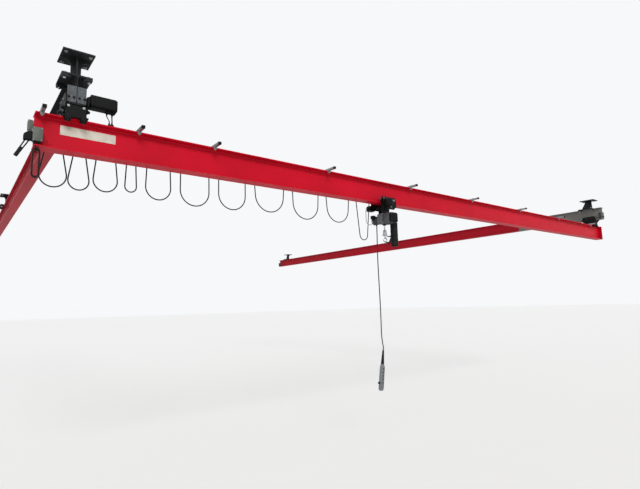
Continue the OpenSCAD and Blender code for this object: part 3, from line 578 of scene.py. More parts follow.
def curve_through(points, steps=6):
    """A smooth route through given points."""
    points = [Vector(p) for p in points]
    result = []
    for i in range(len(points) - 1):
        a, b = points[max(i - 1, 0)], points[i]
        c, d = points[i + 1], points[min(i + 2, len(points) - 1)]
        for k in range(steps):
            t = k / steps
            result.append(
                b
                + t * ((c - a) / 2 + t * (a - 2.5 * b + 2 * c - 0.5 * d + t * ((d - a) / 2 + 1.5 * (b - c))))
            )
    return result + [points[-1]]


def free_cord(
    name, route, diameter, material, body, replaces=(), blend=None,
):
    """A round cord along a route."""
    bm = bmesh.new()
    swept(bm, route, diameter / 2)
    made = piece(name, bm, material, body, replaces, 60)
    if blend:
        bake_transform(made)


# The parked part of the festoon, from the box on the rail's end over the parked saddles
parked = [
    Vector((rail_low.x, RAIL_Y, SADDLE_Z + SADDLE_R)), Vector((PARKED_X[0], RAIL_Y, SADDLE_Z + SADDLE_R)),
]
for index in range(len(PARKED_X) - 1):
    parked = even(parked)[:-1] + festoon_loop(index)
free_cord("festoon_parked", parked, FESTOON_D, black_sheath, "bridge", replaces=["parked_loops"])

# The moving loops, one between each two carriers
moving_bodies = ["bridge"] + moving_nodes
for index in range(len(MOVING_X)):
    k = len(PARKED_X) - 1 + index
    route = festoon_loop(k)
    middle = (CARRIER_X[k] + CARRIER_X[k + 1]) / 2
    reach = max(LOOP_RADIUS[k], (CARRIER_X[k + 1] - CARRIER_X[k]) / 2 - SADDLE_R)
    low = Vector((middle - reach, RAIL_Y, SADDLE_Z)) * MM
    high = Vector((middle + reach, RAIL_Y, SADDLE_Z)) * MM
    free_cord(
        f"festoon_loop_{index + 1}", route, FESTOON_D, black_sheath, None,
        replaces=[f"loop_{index + 1}"], blend=(moving_bodies[index], moving_bodies[index + 1], low, high),
    )

# Pendant cable, from the gland under the hoist's motor down to the boot
PENDANT_LEAN = math.radians(8)
BOOT_AXIS = Vector((math.sin(PENDANT_LEAN), 0, math.cos(PENDANT_LEAN)))
CABLE_START = Vector((HOIST_X + 5, 155, GIRDER_BOTTOM - 280))
CABLE_END = Vector((24, 0, -1737))
CABLE_ROUTE = [
    (0, 0, 0), (0, 0, -60), (-2, 0, -160), (-5, 1, -300), (-6, 2, -460), (-4, 2, -640), (-1, 1, -820),
    (2, 0, -1000), (4, -1, -1180), (4, -1, -1340), (4, 0, -1480), (9, 1, -1580), (20, 0, -1655),
    CABLE_END + 42 * BOOT_AXIS, CABLE_END + 21 * BOOT_AXIS, CABLE_END,
]
HANDSET_TOP = CABLE_START + CABLE_END
pendant_route = curve_through([CABLE_START + Vector(p) for p in CABLE_ROUTE], 8)

# Hoist lead, from the control box's side to the motor's terminal box
LEAD_D = 9
LEAD_Y = 150
LEAD_LOW = GIRDER_BOTTOM - 215
LEAD_TOP = GIRDER_BOTTOM - 89
BOX_SIDE_X = HOIST_X - 170
LEAD_TOP_R, LEAD_LOW_R = 35, 65
lead_route = even(
    arc((BOX_SIDE_X, LEAD_Y, LEAD_TOP), LEAD_TOP_R, 90, 180)
    + arc((BOX_SIDE_X - LEAD_TOP_R + LEAD_LOW_R, LEAD_Y, LEAD_LOW), LEAD_LOW_R, 180, 360)
    + [Vector((BOX_SIDE_X - LEAD_TOP_R + 2 * LEAD_LOW_R, LEAD_Y, LEAD_LOW + 25))]
)
free_cord("hoist_motor_lead", lead_route, LEAD_D, pale_sheath, "hoist", replaces=["hoist_lead"])

# --- Small parts -----------------------------------------------------------------------------------


def weld(bm, start, end, leg=5):
    """A fillet of weld along a corner, rippled like a run of beads."""
    start, end = Vector(start), Vector(end)
    count = max(4, round((end - start).length / 9))
    path = [start.lerp(end, k / count) for k in range(count + 1)]
    swept(bm, path, [leg * (0.85 + 0.3 * (k % 2)) for k in range(count + 1)], 6)


def gland(bm, at, axis, cord_d):
    """A cable gland: a hex body, a dome nut and the seal that tapers onto the cord."""
    r = cord_d / 2
    turned(bm, [(0, 0), (r + 6, 0), (r + 6, 5), (r + 5, 6), (0, 6)], axis, at, 6)
    dome = [(0, 5), (r + 5, 5), (r + 5, 11), (r + 3.5, 15), (r + 1.5, 18), (r + 1.2, 24), (r + 0.4, 32)]
    turned(bm, dome + [(0, 32)], axis, at, 18)


def screws(bm, places, axis, r=4, height=2.5):
    """Pan-head screws with a shallow dished top."""
    head = [(0, 0), (r, 0), (r, height * 0.4), (r * 0.75, height * 0.9), (r * 0.4, height), (0, height * 0.7)]
    for place in places:
        turned(bm, head, axis, place, 12)


# --- Hangers, clamps and runway ends ---------------------------------------------------------------

HANGER_PLATE = 12
FOOT_TOP = RUNWAY_TOP + HANGER_PLATE
JAW_Y = (-75, 175)
JAW_DROP = 28
hanger_bolts = []
bm = bmesh.new()
for x in SIDES:
    for y in HANGER_Y:
        for sx in BOTH:
            hanger_bolts += [((x + 98 * sx, y + 110 * sy, -HANGER_PLATE), -Z) for sy in BOTH]
            for jaw in JAW_Y:
                for z, axis in ((FOOT_TOP, Z), (RUNWAY_TOP - JAW_DROP, -Z)):
                    hanger_bolts.append(((x + 97 * sx, y + jaw, z), axis))
            for z, half, near, far in ((FOOT_TOP, 43, -68, 168), (-HANGER_PLATE, 110, -58, 58)):
                weld(bm, (x - half, y + 7 * sx, z), (x + half, y + 7 * sx, z))
                weld(bm, (x + 7 * sx, y + near, z), (x + 7 * sx, y + far, z))
piece("hanger_welds", bm, grey_primer, "runways")
bolts("hanger_bolts", hanger_bolts, 16, "runways")

RUNWAY_FRONTS = (runway_low.y, edges("runway_right")[0].y)
RUNWAY_FAR = runway_high.y
CLEAT_Z = RUNWAY_BOTTOM + 89
CLEAT_REACH = 3.3 + 8
cleat_bolts = []
for x, front in zip(SIDES, RUNWAY_FRONTS):
    for end, inward in ((front, 1), (RUNWAY_FAR, -1)):
        for sx in (-1, 1):
            cleat_bolts += [((x + u * sx, end, CLEAT_Z - 30), -Y * inward) for u in (22, 62)]
            for dz in (-40, 40):
                for inset in (28, 60):
                    cleat_bolts.append(((x + CLEAT_REACH * sx, end + inset * inward, CLEAT_Z + dz), X * sx))
bolts("cleat_bolts", cleat_bolts, 12, "runways", black_bolt)

# --- Carriages --------------------------------------------------------------------------------------

WHEEL_Z = RUNWAY_BOTTOM + 40.5
YOKE_BOLT_Z = RUNWAY_BOTTOM - 35
YOKE_BASE = GIRDER_TOP + 12
PLATE_FACE = 92.5
BOSS_FACE = PLATE_FACE + 12
yoke_bolts, axle_caps = [], []
bm = bmesh.new()
for x in SIDES:
    for sx, sy in CORNERS:
        yoke_bolts.append(((x + BOSS_FACE * sx, 65 * sy, YOKE_BOLT_Z), X * sx))
        if (sx, sy) != (1, -1):
            axle_caps.append(((x + BOSS_FACE * sx, 50 * sy, WHEEL_Z), X * sx))
        for z, axis in ((YOKE_BASE, Z), (GIRDER_TOP - JAW_DROP, -Z)):
            yoke_bolts.append(((x + 62 * sx, 96 * sy, z), axis))
        weld(bm, (x + 38 * sx + 7 * sy, -88, YOKE_BASE), (x + 38 * sx + 7 * sy, 88, YOKE_BASE))
piece("yoke_welds", bm, black_enamel, "bridge")
bolts("yoke_bolts", yoke_bolts, 16, "bridge", black_bolt)
bolts("axle_caps", axle_caps, 9, "bridge", black_bolt)

# A folded tie plate joins the side plates in front of the wheels, and one behind them
TIE_LOW, TIE_HIGH, TIE_FACE = YOKE_BASE + 1, YOKE_BOLT_Z + 27, 104
fold, wall = TIE_FACE - 14, TIE_FACE - 5
outline = [
    (TIE_FACE, TIE_LOW), (TIE_FACE, TIE_HIGH), (fold, TIE_HIGH), (fold, TIE_HIGH - 5), (wall, TIE_HIGH - 5),
    (wall, TIE_LOW + 5), (fold, TIE_LOW + 5), (fold, TIE_LOW),
]
bm = bmesh.new()
tie_bolts = []
for x in SIDES:
    for sy in BOTH:
        plate(bm, [(u * sy, v) for u, v in outline], "x", x - 84.5, 169, 0)
        tie_bolts += [((x + 62 * sx, TIE_FACE * sy, YOKE_BOLT_Z + 12), Y * sy) for sx in BOTH]
piece("carriage_tie_plates", bm, black_enamel, "bridge")
bolts("tie_plate_bolts", tie_bolts, 12, "bridge")

# Drive motors: neck, flange, a smooth cover with two seams, and a slotted fan end
DRIVE_Y, DRIVE_Z = -18, WHEEL_Z + 44.5
DRIVE_SIZE = 118
DRIVE_UNDER = DRIVE_Z - DRIVE_SIZE / 2
bm, flange_bm, fan_bm = bmesh.new(), bmesh.new(), bmesh.new()
drive_screws = []
cover = eased(122.5, 339, DRIVE_SIZE, DRIVE_SIZE, 20, 5)
half = len(cover) // 2
cover[half:half] = [
    (at + offset, DRIVE_SIZE - 2 * depth, DRIVE_SIZE - 2 * depth, 20 - depth) for at in (146, 296)
    for offset, depth in ((0, 0), (0.8, 1.2), (2, 1.2), (2.8, 0))
]
for x in SIDES:
    neck = (x + PLATE_FACE, DRIVE_Y, WHEEL_Z + 24.5)
    turned(flange_bm, [(0, 0), (30, 0), (30, 6), (27, 8), (27, 14), (30, 17), (30, 20), (0, 20)], X, neck)
    middle = (x, DRIVE_Y, DRIVE_Z)
    shell(flange_bm, "x", middle, eased(PLATE_FACE + 17, PLATE_FACE + 31, 80, 80, 16, 2))
    shell(bm, "x", middle, cover)
    shell(fan_bm, "x", middle, eased(338, 351, DRIVE_SIZE - 10, DRIVE_SIZE - 10, 18, 4))
    for k in range(-3, 4):
        z = DRIVE_Z + 11 * k
        slab(fan_bm, (x + 350, DRIVE_Y - 34, z - 2), (x + 353, DRIVE_Y + 34, z + 2), 0.8, 1)
    drive_screws += [((x + 109.5, DRIVE_Y + 31 * sy, DRIVE_Z + 31 * sz), -X) for sy, sz in CORNERS]
piece("drive_motor_flanges", flange_bm, black_enamel, "bridge")
piece("drive_motor_covers", bm, black_abs, "bridge", ["drive_motors"])
piece("drive_motor_fan_ends", fan_bm, black_abs, "bridge")
bolts("drive_flange_screws", drive_screws, 6, "bridge", black_bolt)

# Two leads drop from a block under each motor to a connector on the girder. Each has a name, its places
# along X from the top down, and a diameter.
CONNECTOR_X, CONNECTOR_Y = 308, -20
DRIVE_CORDS = (
    ("drive_lead", (270, 271, 281, CONNECTOR_X - 15, CONNECTOR_X - 14), 8),
    ("drive_supply", (316, 316, 317, CONNECTOR_X + 10, CONNECTOR_X + 10), 11),
)
bm = bmesh.new()
for x in SIDES:
    shell(bm, "z", (x + CONNECTOR_X, CONNECTOR_Y, 0), eased(GIRDER_TOP, GIRDER_TOP + 26, 52, 36, 5, 3))
    for _, places, cord_d in DRIVE_CORDS:
        gland(bm, (x + places[-1], CONNECTOR_Y, GIRDER_TOP + 24), Z, cord_d)
    shell(bm, "z", (x + 300, DRIVE_Y, 0), eased(DRIVE_UNDER - 12, DRIVE_UNDER + 2, 84, 44, 8, 4))
    for _, places, cord_d in DRIVE_CORDS:
        gland(bm, (x + places[0], DRIVE_Y, DRIVE_UNDER - 10), -Z, cord_d)
piece("drive_glands", bm, black_rubber, "bridge")
top, low = DRIVE_UNDER - 20, GIRDER_TOP + 46
levels = (
    (DRIVE_Y, top), (DRIVE_Y, top - 18), (DRIVE_Y, (top + low) / 2), (CONNECTOR_Y, low + 18),
    (CONNECTOR_Y, low),
)
for side, x in zip(("left", "right"), SIDES):
    for name, places, cord_d in DRIVE_CORDS:
        route = curve_through([(x + u, *level) for u, level in zip(places, levels)], 5)
        free_cord(f"{name}_{side}", route, cord_d, black_sheath, "bridge")

# --- Festoon hardware --------------------------------------------------------------------------------

ARM_X = [-250, 553] + [1333 + 1560 * k for k in range(7)]
arm_low, arm_high = edges("festoon_arms")
ARM_TOP = GIRDER_TOP + 26
bm, clamp_bm = bmesh.new(), bmesh.new()
arm_bolts = []
for x in ARM_X:
    for near, far in ((arm_low.y - 3, arm_low.y + 14), (arm_high.y - 12, arm_high.y + 3)):
        slab(bm, (x - 16.5, near, GIRDER_TOP - 1.5), (x + 16.5, far, ARM_TOP + 1.5), 2)
    for sy in BOTH:
        y = RAIL_Y + 21 * sy
        slab(clamp_bm, (x - 14, y - 2.5, GIRDER_TOP - 24), (x + 14, y + 2.5, GIRDER_TOP + 1), 0.8, 1)
        arm_bolts += [
            ((x, (GIRDER_HALF + 7) * sy, ARM_TOP), Z), ((x, (GIRDER_HALF + 1) * sy, GIRDER_TOP - 24), -Z),
            ((x, RAIL_Y + 23.5 * sy, GIRDER_TOP - 12), Y * sy),
        ]
    arm_bolts.append(((x, RAIL_Y, ARM_TOP), Z))
piece("arm_end_caps", bm, black_abs, "bridge")
piece("rail_clamps", clamp_bm, zinc_spangle, "bridge")
bolts("arm_bolts", arm_bolts, 10, "bridge")

ROLLER_Z = rail_low.z + 2.5 + 11.3
STRAP_Z = SADDLE_Z + SADDLE_R + FESTOON_D / 2 + 0.5
STRAP_PIN = STRAP_Z - SADDLE_Z - 46
ROLLER = [(0, 0), (5, 0), (5, 1), (8, 1), (9, 0), (10.4, 0), (11, 1), (11, 8.5), (10, 10), (0, 10)]
NECK = [
    (-38, ROLLER_Z - 4), (-34, ROLLER_Z + 5), (34, ROLLER_Z + 5), (38, ROLLER_Z - 4), (36, rail_low.z - 6),
    (22, STRAP_Z + 10), (22, STRAP_Z + 1), (-22, STRAP_Z + 1), (-22, STRAP_Z + 10), (-36, rail_low.z - 6),
]
SADDLE_LIP = [
    (40, -20), (57, -20), (58.5, -17), (57, -12), (54, -9), (54, 9), (57, 12), (58.5, 17), (57, 20), (40, 20),
]
SADDLE_WEB = [
    (-40, SADDLE_Z), (40, SADDLE_Z), (28, SADDLE_Z + 28), (0, SADDLE_Z + 40), (-28, SADDLE_Z + 28),
]


def add_carrier(bm, x):
    """A moulded carrier: four rollers, a neck through the rail's slot, a strap plate and a lipped saddle."""
    for dx in (-26, 26):
        for sy in BOTH:
            turned(bm, ROLLER, Y * sy, (x + dx, RAIL_Y + 5.5 * sy, ROLLER_Z), 16)
        turned(bm, [(0, 0), (4, 0), (4, 24), (0, 24)], Y, (x + dx, RAIL_Y - 12, ROLLER_Z), 10)
    plate(bm, [(x + u, v) for u, v in NECK], "y", RAIL_Y - 3, 6)
    slab(bm, (x - 25, RAIL_Y - 20, STRAP_Z), (x + 25, RAIL_Y + 20, STRAP_Z + 6), 2)
    for sx in BOTH:
        stop = x + 40 * sx
        slab(bm, (stop - 3, RAIL_Y - 9, rail_low.z - 24), (stop + 3, RAIL_Y + 9, rail_low.z - 8), 2)
        for sy in BOTH:
            pin = (x + 17 * sx, RAIL_Y + 14 * sy, SADDLE_Z + 47)
            turned(bm, [(0, 0), (3.5, 0), (3.5, STRAP_PIN), (0, STRAP_PIN)], Z, pin, 8)
    rings = []
    for k in range(15):
        a = math.pi * k / 14
        rings.append(
            [Vector((x + r * math.cos(a), RAIL_Y + y, SADDLE_Z + r * math.sin(a))) for r, y in SADDLE_LIP]
        )
    add_rings(bm, rings)
    plate(bm, [(x + u, v) for u, v in SADDLE_WEB], "y", RAIL_Y - 2.5, 5)


def strap_bolts(name, places, body):
    places = [((x + 17 * sx, RAIL_Y + 14 * sy, STRAP_Z + 6), Z) for x in places for sx, sy in CORNERS]
    bolts(name, places, 6, body)


bm = bmesh.new()
for x in PARKED_X:
    add_carrier(bm, x)
piece("parked_saddles", bm, black_abs, "bridge", ["parked_carriers"])
strap_bolts("parked_strap_bolts", PARKED_X, "bridge")
TOW_PIN_Z = SADDLE_Z + SADDLE_R - 20
for node_name, x in zip(moving_nodes, MOVING_X):
    bm = bmesh.new()
    add_carrier(bm, x)
    if node_name == "tow_carrier":
        turned(bm, [(0, 0), (6, 0), (7, 1), (7, 66), (0, 66)], Y, (x, RAIL_Y - 85, TOW_PIN_Z), 16)
    piece(f"{node_name}_saddle", bm, black_abs, node_name, [node_name])
    strap_bolts(f"{node_name}_bolts", [x], node_name)

# Terminal boxes: a body, a lid with corner screws, and glands
bm, screw_bm, gland_bm = bmesh.new(), bmesh.new(), bmesh.new()
END_BOX_Z = GIRDER_BOTTOM + 100
rail_box_low = Vector((rail_low.x - 45, RAIL_Y - 30, rail_high.z - 65))
rail_box_high = Vector((rail_low.x, RAIL_Y + 30, rail_high.z + 27))
rail_box_bm = bmesh.new()
for box_bm, low, high in (
    (bm, Vector((-312, -79, END_BOX_Z - 60)), Vector((-237, -3.55, END_BOX_Z + 60))),
    (rail_box_bm, rail_box_low, rail_box_high),
):
    size, centre = high - low, (low + high) / 2
    body = eased(low.y + 14, high.y, size.x - 4, size.z - 4, 7, 2)
    shell(box_bm, "y", (centre.x, 0, centre.z), body)
    shell(box_bm, "y", (centre.x, 0, centre.z), eased(low.y, low.y + 13, size.x, size.z, 8, 3))
    corners = [
        (centre.x + (size.x / 2 - 8) * sx, low.y, centre.z + (size.z / 2 - 8) * sz) for sx in (-1, 1)
        for sz in (-1, 1)
    ]
    screws(screw_bm, corners, -Y, 3.5, 2)
piece("terminal_box_shells", bm, shaded_grey_box_plastic, "bridge", ["terminal_boxes"])
piece("rail_end_box_shells", rail_box_bm, shaded_grey_box_plastic, "bridge")
piece("terminal_box_screws", screw_bm, plated_bolt, "bridge")
gland(gland_bm, (rail_low.x - 1, RAIL_Y, SADDLE_Z + SADDLE_R), X, FESTOON_D)
HANK_EXITS = ((-292, -52, END_BOX_Z - 60), (-262, -52, END_BOX_Z - 60))
for at in HANK_EXITS:
    gland(gland_bm, (at[0], at[1], at[2] + 2), -Z, 7)
piece("terminal_box_glands", gland_bm, black_rubber, "bridge")

# Supply arm: a folded bracket, two rods and the clamp on their ends, and the peg for the spare cable
BRACKET_Z = GIRDER_BOTTOM + 45
rod_lean = math.radians(27)
rod_axis = Vector((-math.sin(rod_lean), 0, -math.cos(rod_lean)))
rod_side = Vector((math.cos(rod_lean), 0, -math.sin(rod_lean)))
rod_root = Vector((-343, -40, BRACKET_Z + 6))
bm = bmesh.new()
for y in (-62, -22):
    plate(
        bm,
        [
            (-312, BRACKET_Z), (-312, BRACKET_Z + 75), (-340, BRACKET_Z + 75), (-373, BRACKET_Z + 48),
            (-373, BRACKET_Z),
        ], "y", y, 4,
    )
slab(bm, (-316, -62, BRACKET_Z), (-312, -18, BRACKET_Z + 75), 0.8, 1)
slab(bm, (-373, -62, BRACKET_Z), (-312, -18, BRACKET_Z + 4), 0.8, 1)
for side in (-1, 1):
    ends = [rod_root + rod_side * s * side + rod_axis * d for d, s in ((-10, 13), (90, 10), (174, 8))]
    swept(bm, [ends[0], ends[0].lerp(ends[1], 0.01), ends[1], ends[2]], [5, 5.5, 5.5, 5], 12)
clamp_place = Matrix.Translation(rod_root) @ Matrix((rod_side, Y, rod_axis)).transposed().to_4x4()
clamp_bm = bmesh.new()
shell(
    clamp_bm, "z", (0, 0, 0),
    [
        (84, 26, 14, 6), (87, 32, 18, 8), (130, 31, 18, 8), (134, 27, 16, 7), (138, 27, 16, 7),
        (142, 31, 19, 8), (172, 30, 19, 8), (175, 24, 14, 6),
    ],
)
bmesh.ops.transform(clamp_bm, matrix=clamp_place, verts=clamp_bm.verts)
HANK_X, HANK_Y, HANK_TOP = -278, -50, GIRDER_BOTTOM - 12
PEG_Z = HANK_TOP - 29.2
slab(bm, (HANK_X - 8, HANK_Y + 22, PEG_Z - 8), (HANK_X + 8, HANK_Y + 28, GIRDER_BOTTOM), 1.5)
turned(bm, [(0, 0), (7, 0), (8, 1), (8, 3), (5, 4), (5, 52), (0, 52)], Y, (HANK_X, HANK_Y - 29, PEG_Z), 16)
piece("supply_bracket", bm, black_enamel, "bridge", ["supply_arm"])
piece("supply_clamp", clamp_bm, black_rubber, "bridge")

# Spare supply cable, wound in a hank over the peg: two layers of turns side by side
HANK_CORD = 6.5
HANK_TURNS = 10
HANK_RADII = (29, 22)
HANK_BOTTOM = HANK_TOP - 258


def hank_route():
    """From the box's first gland down to the peg, round the turns, and up to the second gland."""
    start = Vector(HANK_EXITS[0]) - Z * 28
    route = [start, start - Z * 6]
    steps = 26
    straight = (HANK_TOP - HANK_BOTTOM) / 2 - 33
    middle = (HANK_TOP + HANK_BOTTOM) / 2
    for turn in range(HANK_TURNS):
        radius, next_radius = HANK_RADII[turn % 2], HANK_RADII[(turn + 1) % 2]
        sag = 4 + 4 * math.sin(2.1 * turn + 0.6)
        # The last turn stops on its right leg, below the second gland
        for k in range(steps if turn < HANK_TURNS - 1 else steps // 2 + 1):
            share = k / steps
            r = radius + (next_radius - radius) * max(0, share - 0.75) * 4
            y = HANK_Y - 16.5 + 33 * (turn + share) / HANK_TURNS
            a = math.pi + 2 * math.pi * share
            lower = 0 < k < steps / 2
            z = middle + (-straight - sag if lower else straight) + r * math.sin(a)
            route.append(Vector((HANK_X + r * math.cos(a), y, z)))
    end = Vector(HANK_EXITS[1]) - Z * 28
    route += [end - Z * 6, end]
    return route


route = softened(even(hank_route(), 7), 3)
free_cord(
    "spare_cable_hank", route, HANK_CORD, brown_sheath, "bridge",
    replaces=["spare_cable"],
)

# Bare plate on the girder's web, riveted at its corners
WEB_FACE = -WEB_HALF
bm = bmesh.new()
slab(bm, (-102, WEB_FACE - 1.5, GIRDER_TOP - 145), (359, WEB_FACE + 0.5, GIRDER_TOP - 59), 0.5, 1)
piece("bare_sign_plate", bm, bare_plate, "bridge")
bm = bmesh.new()
screws(
    bm, [(x, WEB_FACE - 1.5, z) for x in (-94, 351) for z in (GIRDER_TOP - 137, GIRDER_TOP - 67)], -Y, 4, 2,
)
piece("sign_rivets", bm, plated_bolt, "bridge")

# --- Trolley and hoist --------------------------------------------------------------------------------

TROLLEY_WHEEL_Z = GIRDER_BOTTOM + 46
TIE_BAR_Z = GIRDER_BOTTOM - 50
TRAVEL_FACE = 102
HOIST_Z = GIRDER_BOTTOM - 210
trolley_bolts = []
for sx in (-1, 1):
    for sy in (-1, 1):
        if (sx, sy) != (-1, -1):
            trolley_bolts.append(((HOIST_X + 95 * sx, TRAVEL_FACE * sy, TROLLEY_WHEEL_Z), Y * sy))
        trolley_bolts.append(((HOIST_X + 50 * sx, TRAVEL_FACE * sy, TIE_BAR_Z), Y * sy))
bolts("trolley_nuts", trolley_bolts, 16, "hoist")

# Travel motor: gearbox flange, ribbed body and domed cover, on the near side plate
TRAVEL_X, TRAVEL_Z = HOIST_X - 103, TROLLEY_WHEEL_Z - 62
bm, cover_bm = bmesh.new(), bmesh.new()
shell(bm, "y", (TRAVEL_X, 0, TRAVEL_Z + 8), eased(-TRAVEL_FACE - 34, -TRAVEL_FACE, 76, 146, 16, 3))
profile = [(0, 0), (60, 0), (63, 3)]
for k in range(7):
    profile += [(63, 6 + 8 * k), (57, 7 + 8 * k), (57, 10 + 8 * k), (63, 11 + 8 * k)]
profile += [
    (63, 66), (62, 70), (60, 74), (60, 84), (57, 92), (50, 97), (34, 99), (30, 99), (28, 102), (0, 102),
]
turned(cover_bm, profile, -Y, (TRAVEL_X, -TRAVEL_FACE - 34, TRAVEL_Z), 40)
piece("travel_gearbox", bm, black_enamel, "hoist")
piece("travel_motor_cover", cover_bm, black_abs, "hoist", ["travel_motor"])
bolts(
    "travel_gearbox_bolts",
    [((TRAVEL_X + 28 * sx, -TRAVEL_FACE - 34, TRAVEL_Z + 8 + 63 * sz), -Y) for sx, sz in ((-1, 1), (1, 1))],
    8, "hoist",
)

# Housing: end cover, gear housing and chute in cast shells with parting lines, lugs and tie bars
bm, lug_bm, gear_bm = bmesh.new(), bmesh.new(), bmesh.new()
middle = (HOIST_X, 0, HOIST_Z)
shell(bm, "y", middle, eased(-200, -150, 146, 136, 28, 22, 6))
shell(gear_bm, "y", middle, eased(-158, -40, 142, 132, 26, 3))
for k in range(-4, 5):
    for side in (-1, 1):
        x, z = HOIST_X + 70 * side, HOIST_Z + 11 * k
        slab(gear_bm, (min(x, x + 6 * side), -150, z - 2), (max(x, x + 6 * side), -46, z + 2), 0.8, 1)
        x, z = HOIST_X + 12 * k, HOIST_Z + 65 * side
        slab(gear_bm, (x - 2, -150, min(z, z + 6 * side)), (x + 2, -46, max(z, z + 6 * side)), 0.8, 1)
shell(gear_bm, "y", middle, eased(-44, 4, 190, 150, 26, 4))
shell(gear_bm, "y", middle, eased(2, 45, 186, 146, 25, 4))
shell(bm, "x", (HOIST_X, -55, HOIST_Z - 15), eased(70, 185, 60, 50, 12, 6))
turned(
    bm, [(0, 0), (26, 0), (26, 6), (22, 12), (16, 14), (15, 13), (15, 5), (0, 5)], -Z,
    (HOIST_X, 0, HOIST_Z - 75), 32,
)
turned(
    bm, [(0, 0), (22, 0), (22, 3), (18, 7), (15, 7), (14, 2), (0, 2)], -Z, (HOIST_X + 115, -55, HOIST_Z - 40),
    28,
)
for sx in (-1, 1):
    turned(
        lug_bm, [(0, 0), (10, 0), (11, 1), (11, 235), (10, 236), (0, 236)], Y,
        (HOIST_X + 50 * sx, -TRAVEL_FACE - 16, TIE_BAR_Z), 24,
    )
    for sy in (-1, 1):
        turned(
            lug_bm, [(0, 0), (16, 0), (17, 1), (17, 7), (16, 8), (0, 8)], Y * sy,
            (HOIST_X + 50 * sx, 83.5 * sy, TIE_BAR_Z), 24,
        )
for y in (-30, 30):
    plate(
        lug_bm,
        [
            (HOIST_X + u, v)
            for u, v in (
                (-85, TIE_BAR_Z + 10), (-74, TIE_BAR_Z + 22), (74, TIE_BAR_Z + 22), (85, TIE_BAR_Z + 10),
                (70, HOIST_Z + 66), (-70, HOIST_Z + 66),
            )
        ], "y", y - 5, 10, 1.5,
    )
piece("hoist_shells", bm, black_enamel, "hoist", ["hoist_housing"])
piece("hoist_gearbox", gear_bm, grey_casting, "hoist")
piece("hoist_lugs", lug_bm, grey_primer, "hoist")
hoist_screws = bmesh.new()
screws(
    hoist_screws, [(HOIST_X + 56 * sx, -195, HOIST_Z + 46 * sz) for sx in (-1, 1) for sz in (-1, 1)], -Y, 5,
    4,
)
for sx in (-1, 1):
    for sz in (-1, 1):
        screws(hoist_screws, [(HOIST_X + 80 * sx, -44, HOIST_Z + 60 * sz)], -Y, 6, 5)
        screws(hoist_screws, [(HOIST_X + 80 * sx, 45, HOIST_Z + 60 * sz)], Y, 6, 5)
piece("hoist_screws", hoist_screws, plated_bolt, "hoist")


def fin_tree(count):
    """Thin fins stood round a circle, all pointing away from its middle."""
    tree, given, result = new_tree("cooling_fins", ["Radius", "Depth", "Length", "Thickness"])
    ring = add(
        tree, "GeometryNodeMeshCircle", values={"Vertices": count}, links={"Radius": given.outputs["Radius"]},
    )
    size = add(
        tree, "ShaderNodeCombineXYZ",
        links={"X": given.outputs["Depth"], "Y": given.outputs["Thickness"], "Z": given.outputs["Length"]},
    )
    fin = add(tree, "GeometryNodeMeshCube", links={"Size": size.outputs["Vector"]})
    angle = add(
        tree, "ShaderNodeMath", {"operation": "MULTIPLY"}, {1: 2 * math.pi / count},
        {0: add(tree, "GeometryNodeInputIndex").outputs["Index"]},
    )
    turn = add(tree, "ShaderNodeCombineXYZ", links={"Z": angle.outputs["Value"]})
    close_tree(tree, given, result, ring, fin, turn)
    return tree


# Hoist motor: a finned body, a fan cover with an air grid, and a terminal box on its side
FIN_COUNT = 36
bm = bmesh.new()
turned(
    bm, [(0, 0), (58, 0), (60, 2), (60, 10), (51, 12), (51, 115), (60, 117), (60, 124), (0, 124)], Y,
    (HOIST_X, 45, HOIST_Z), 48,
)
turned(
    bm,
    [
        (0, 0), (59, 0), (60, 2), (60, 20), (57, 26), (50, 30), (48, 30), (48, 34), (45, 36), (30, 36),
        (28, 33), (12, 33), (10, 36), (0, 36),
    ], Y, (HOIST_X, 170, HOIST_Z), 48,
)
for k in range(12):
    a = 2 * math.pi * k / 12
    spoke = [Vector((HOIST_X + r * math.cos(a), 205.5, HOIST_Z + r * math.sin(a))) for r in (10, 28)]
    swept(bm, spoke, 1.6, 6)
piece("hoist_motor_body", bm, grey_casting, "hoist", ["hoist_motor"])
fin_seed = bpy.data.meshes.new("hoist_motor_fins")


def on_motor(mesh):
    mesh.transform(
        Matrix.Translation(Vector((HOIST_X, 107.5, HOIST_Z)) * MM) @ Matrix.Rotation(-math.pi / 2, 4, "X")
    )


grown(
    "hoist_motor_fins", fin_tree(FIN_COUNT), fin_seed,
    {"Radius": 55 * MM, "Depth": 10 * MM, "Length": 105 * MM, "Thickness": 3 * MM}, grey_casting, "hoist",
    adjust=on_motor,
)
LEAD_BOX = Vector((HOIST_X - 75, LEAD_Y, 0))
bm, gland_bm = bmesh.new(), bmesh.new()
shell(bm, "z", (LEAD_BOX.x + 8, LEAD_BOX.y, 0), eased(LEAD_LOW + 25, LEAD_LOW + 58, 50, 60, 7, 2))
shell(bm, "z", (LEAD_BOX.x + 8, LEAD_BOX.y, 0), eased(LEAD_LOW + 59, LEAD_LOW + 70, 52, 62, 8, 3))
piece("hoist_motor_terminal_box", bm, black_abs, "hoist")
gland(gland_bm, (LEAD_BOX.x, LEAD_BOX.y, LEAD_LOW + 27), -Z, LEAD_D)
gland(gland_bm, (BOX_SIDE_X + 2, LEAD_Y, LEAD_TOP + LEAD_TOP_R), -X, LEAD_D)
gland(gland_bm, (CABLE_START.x, CABLE_START.y, CABLE_START.z + 22), -Z, 14)

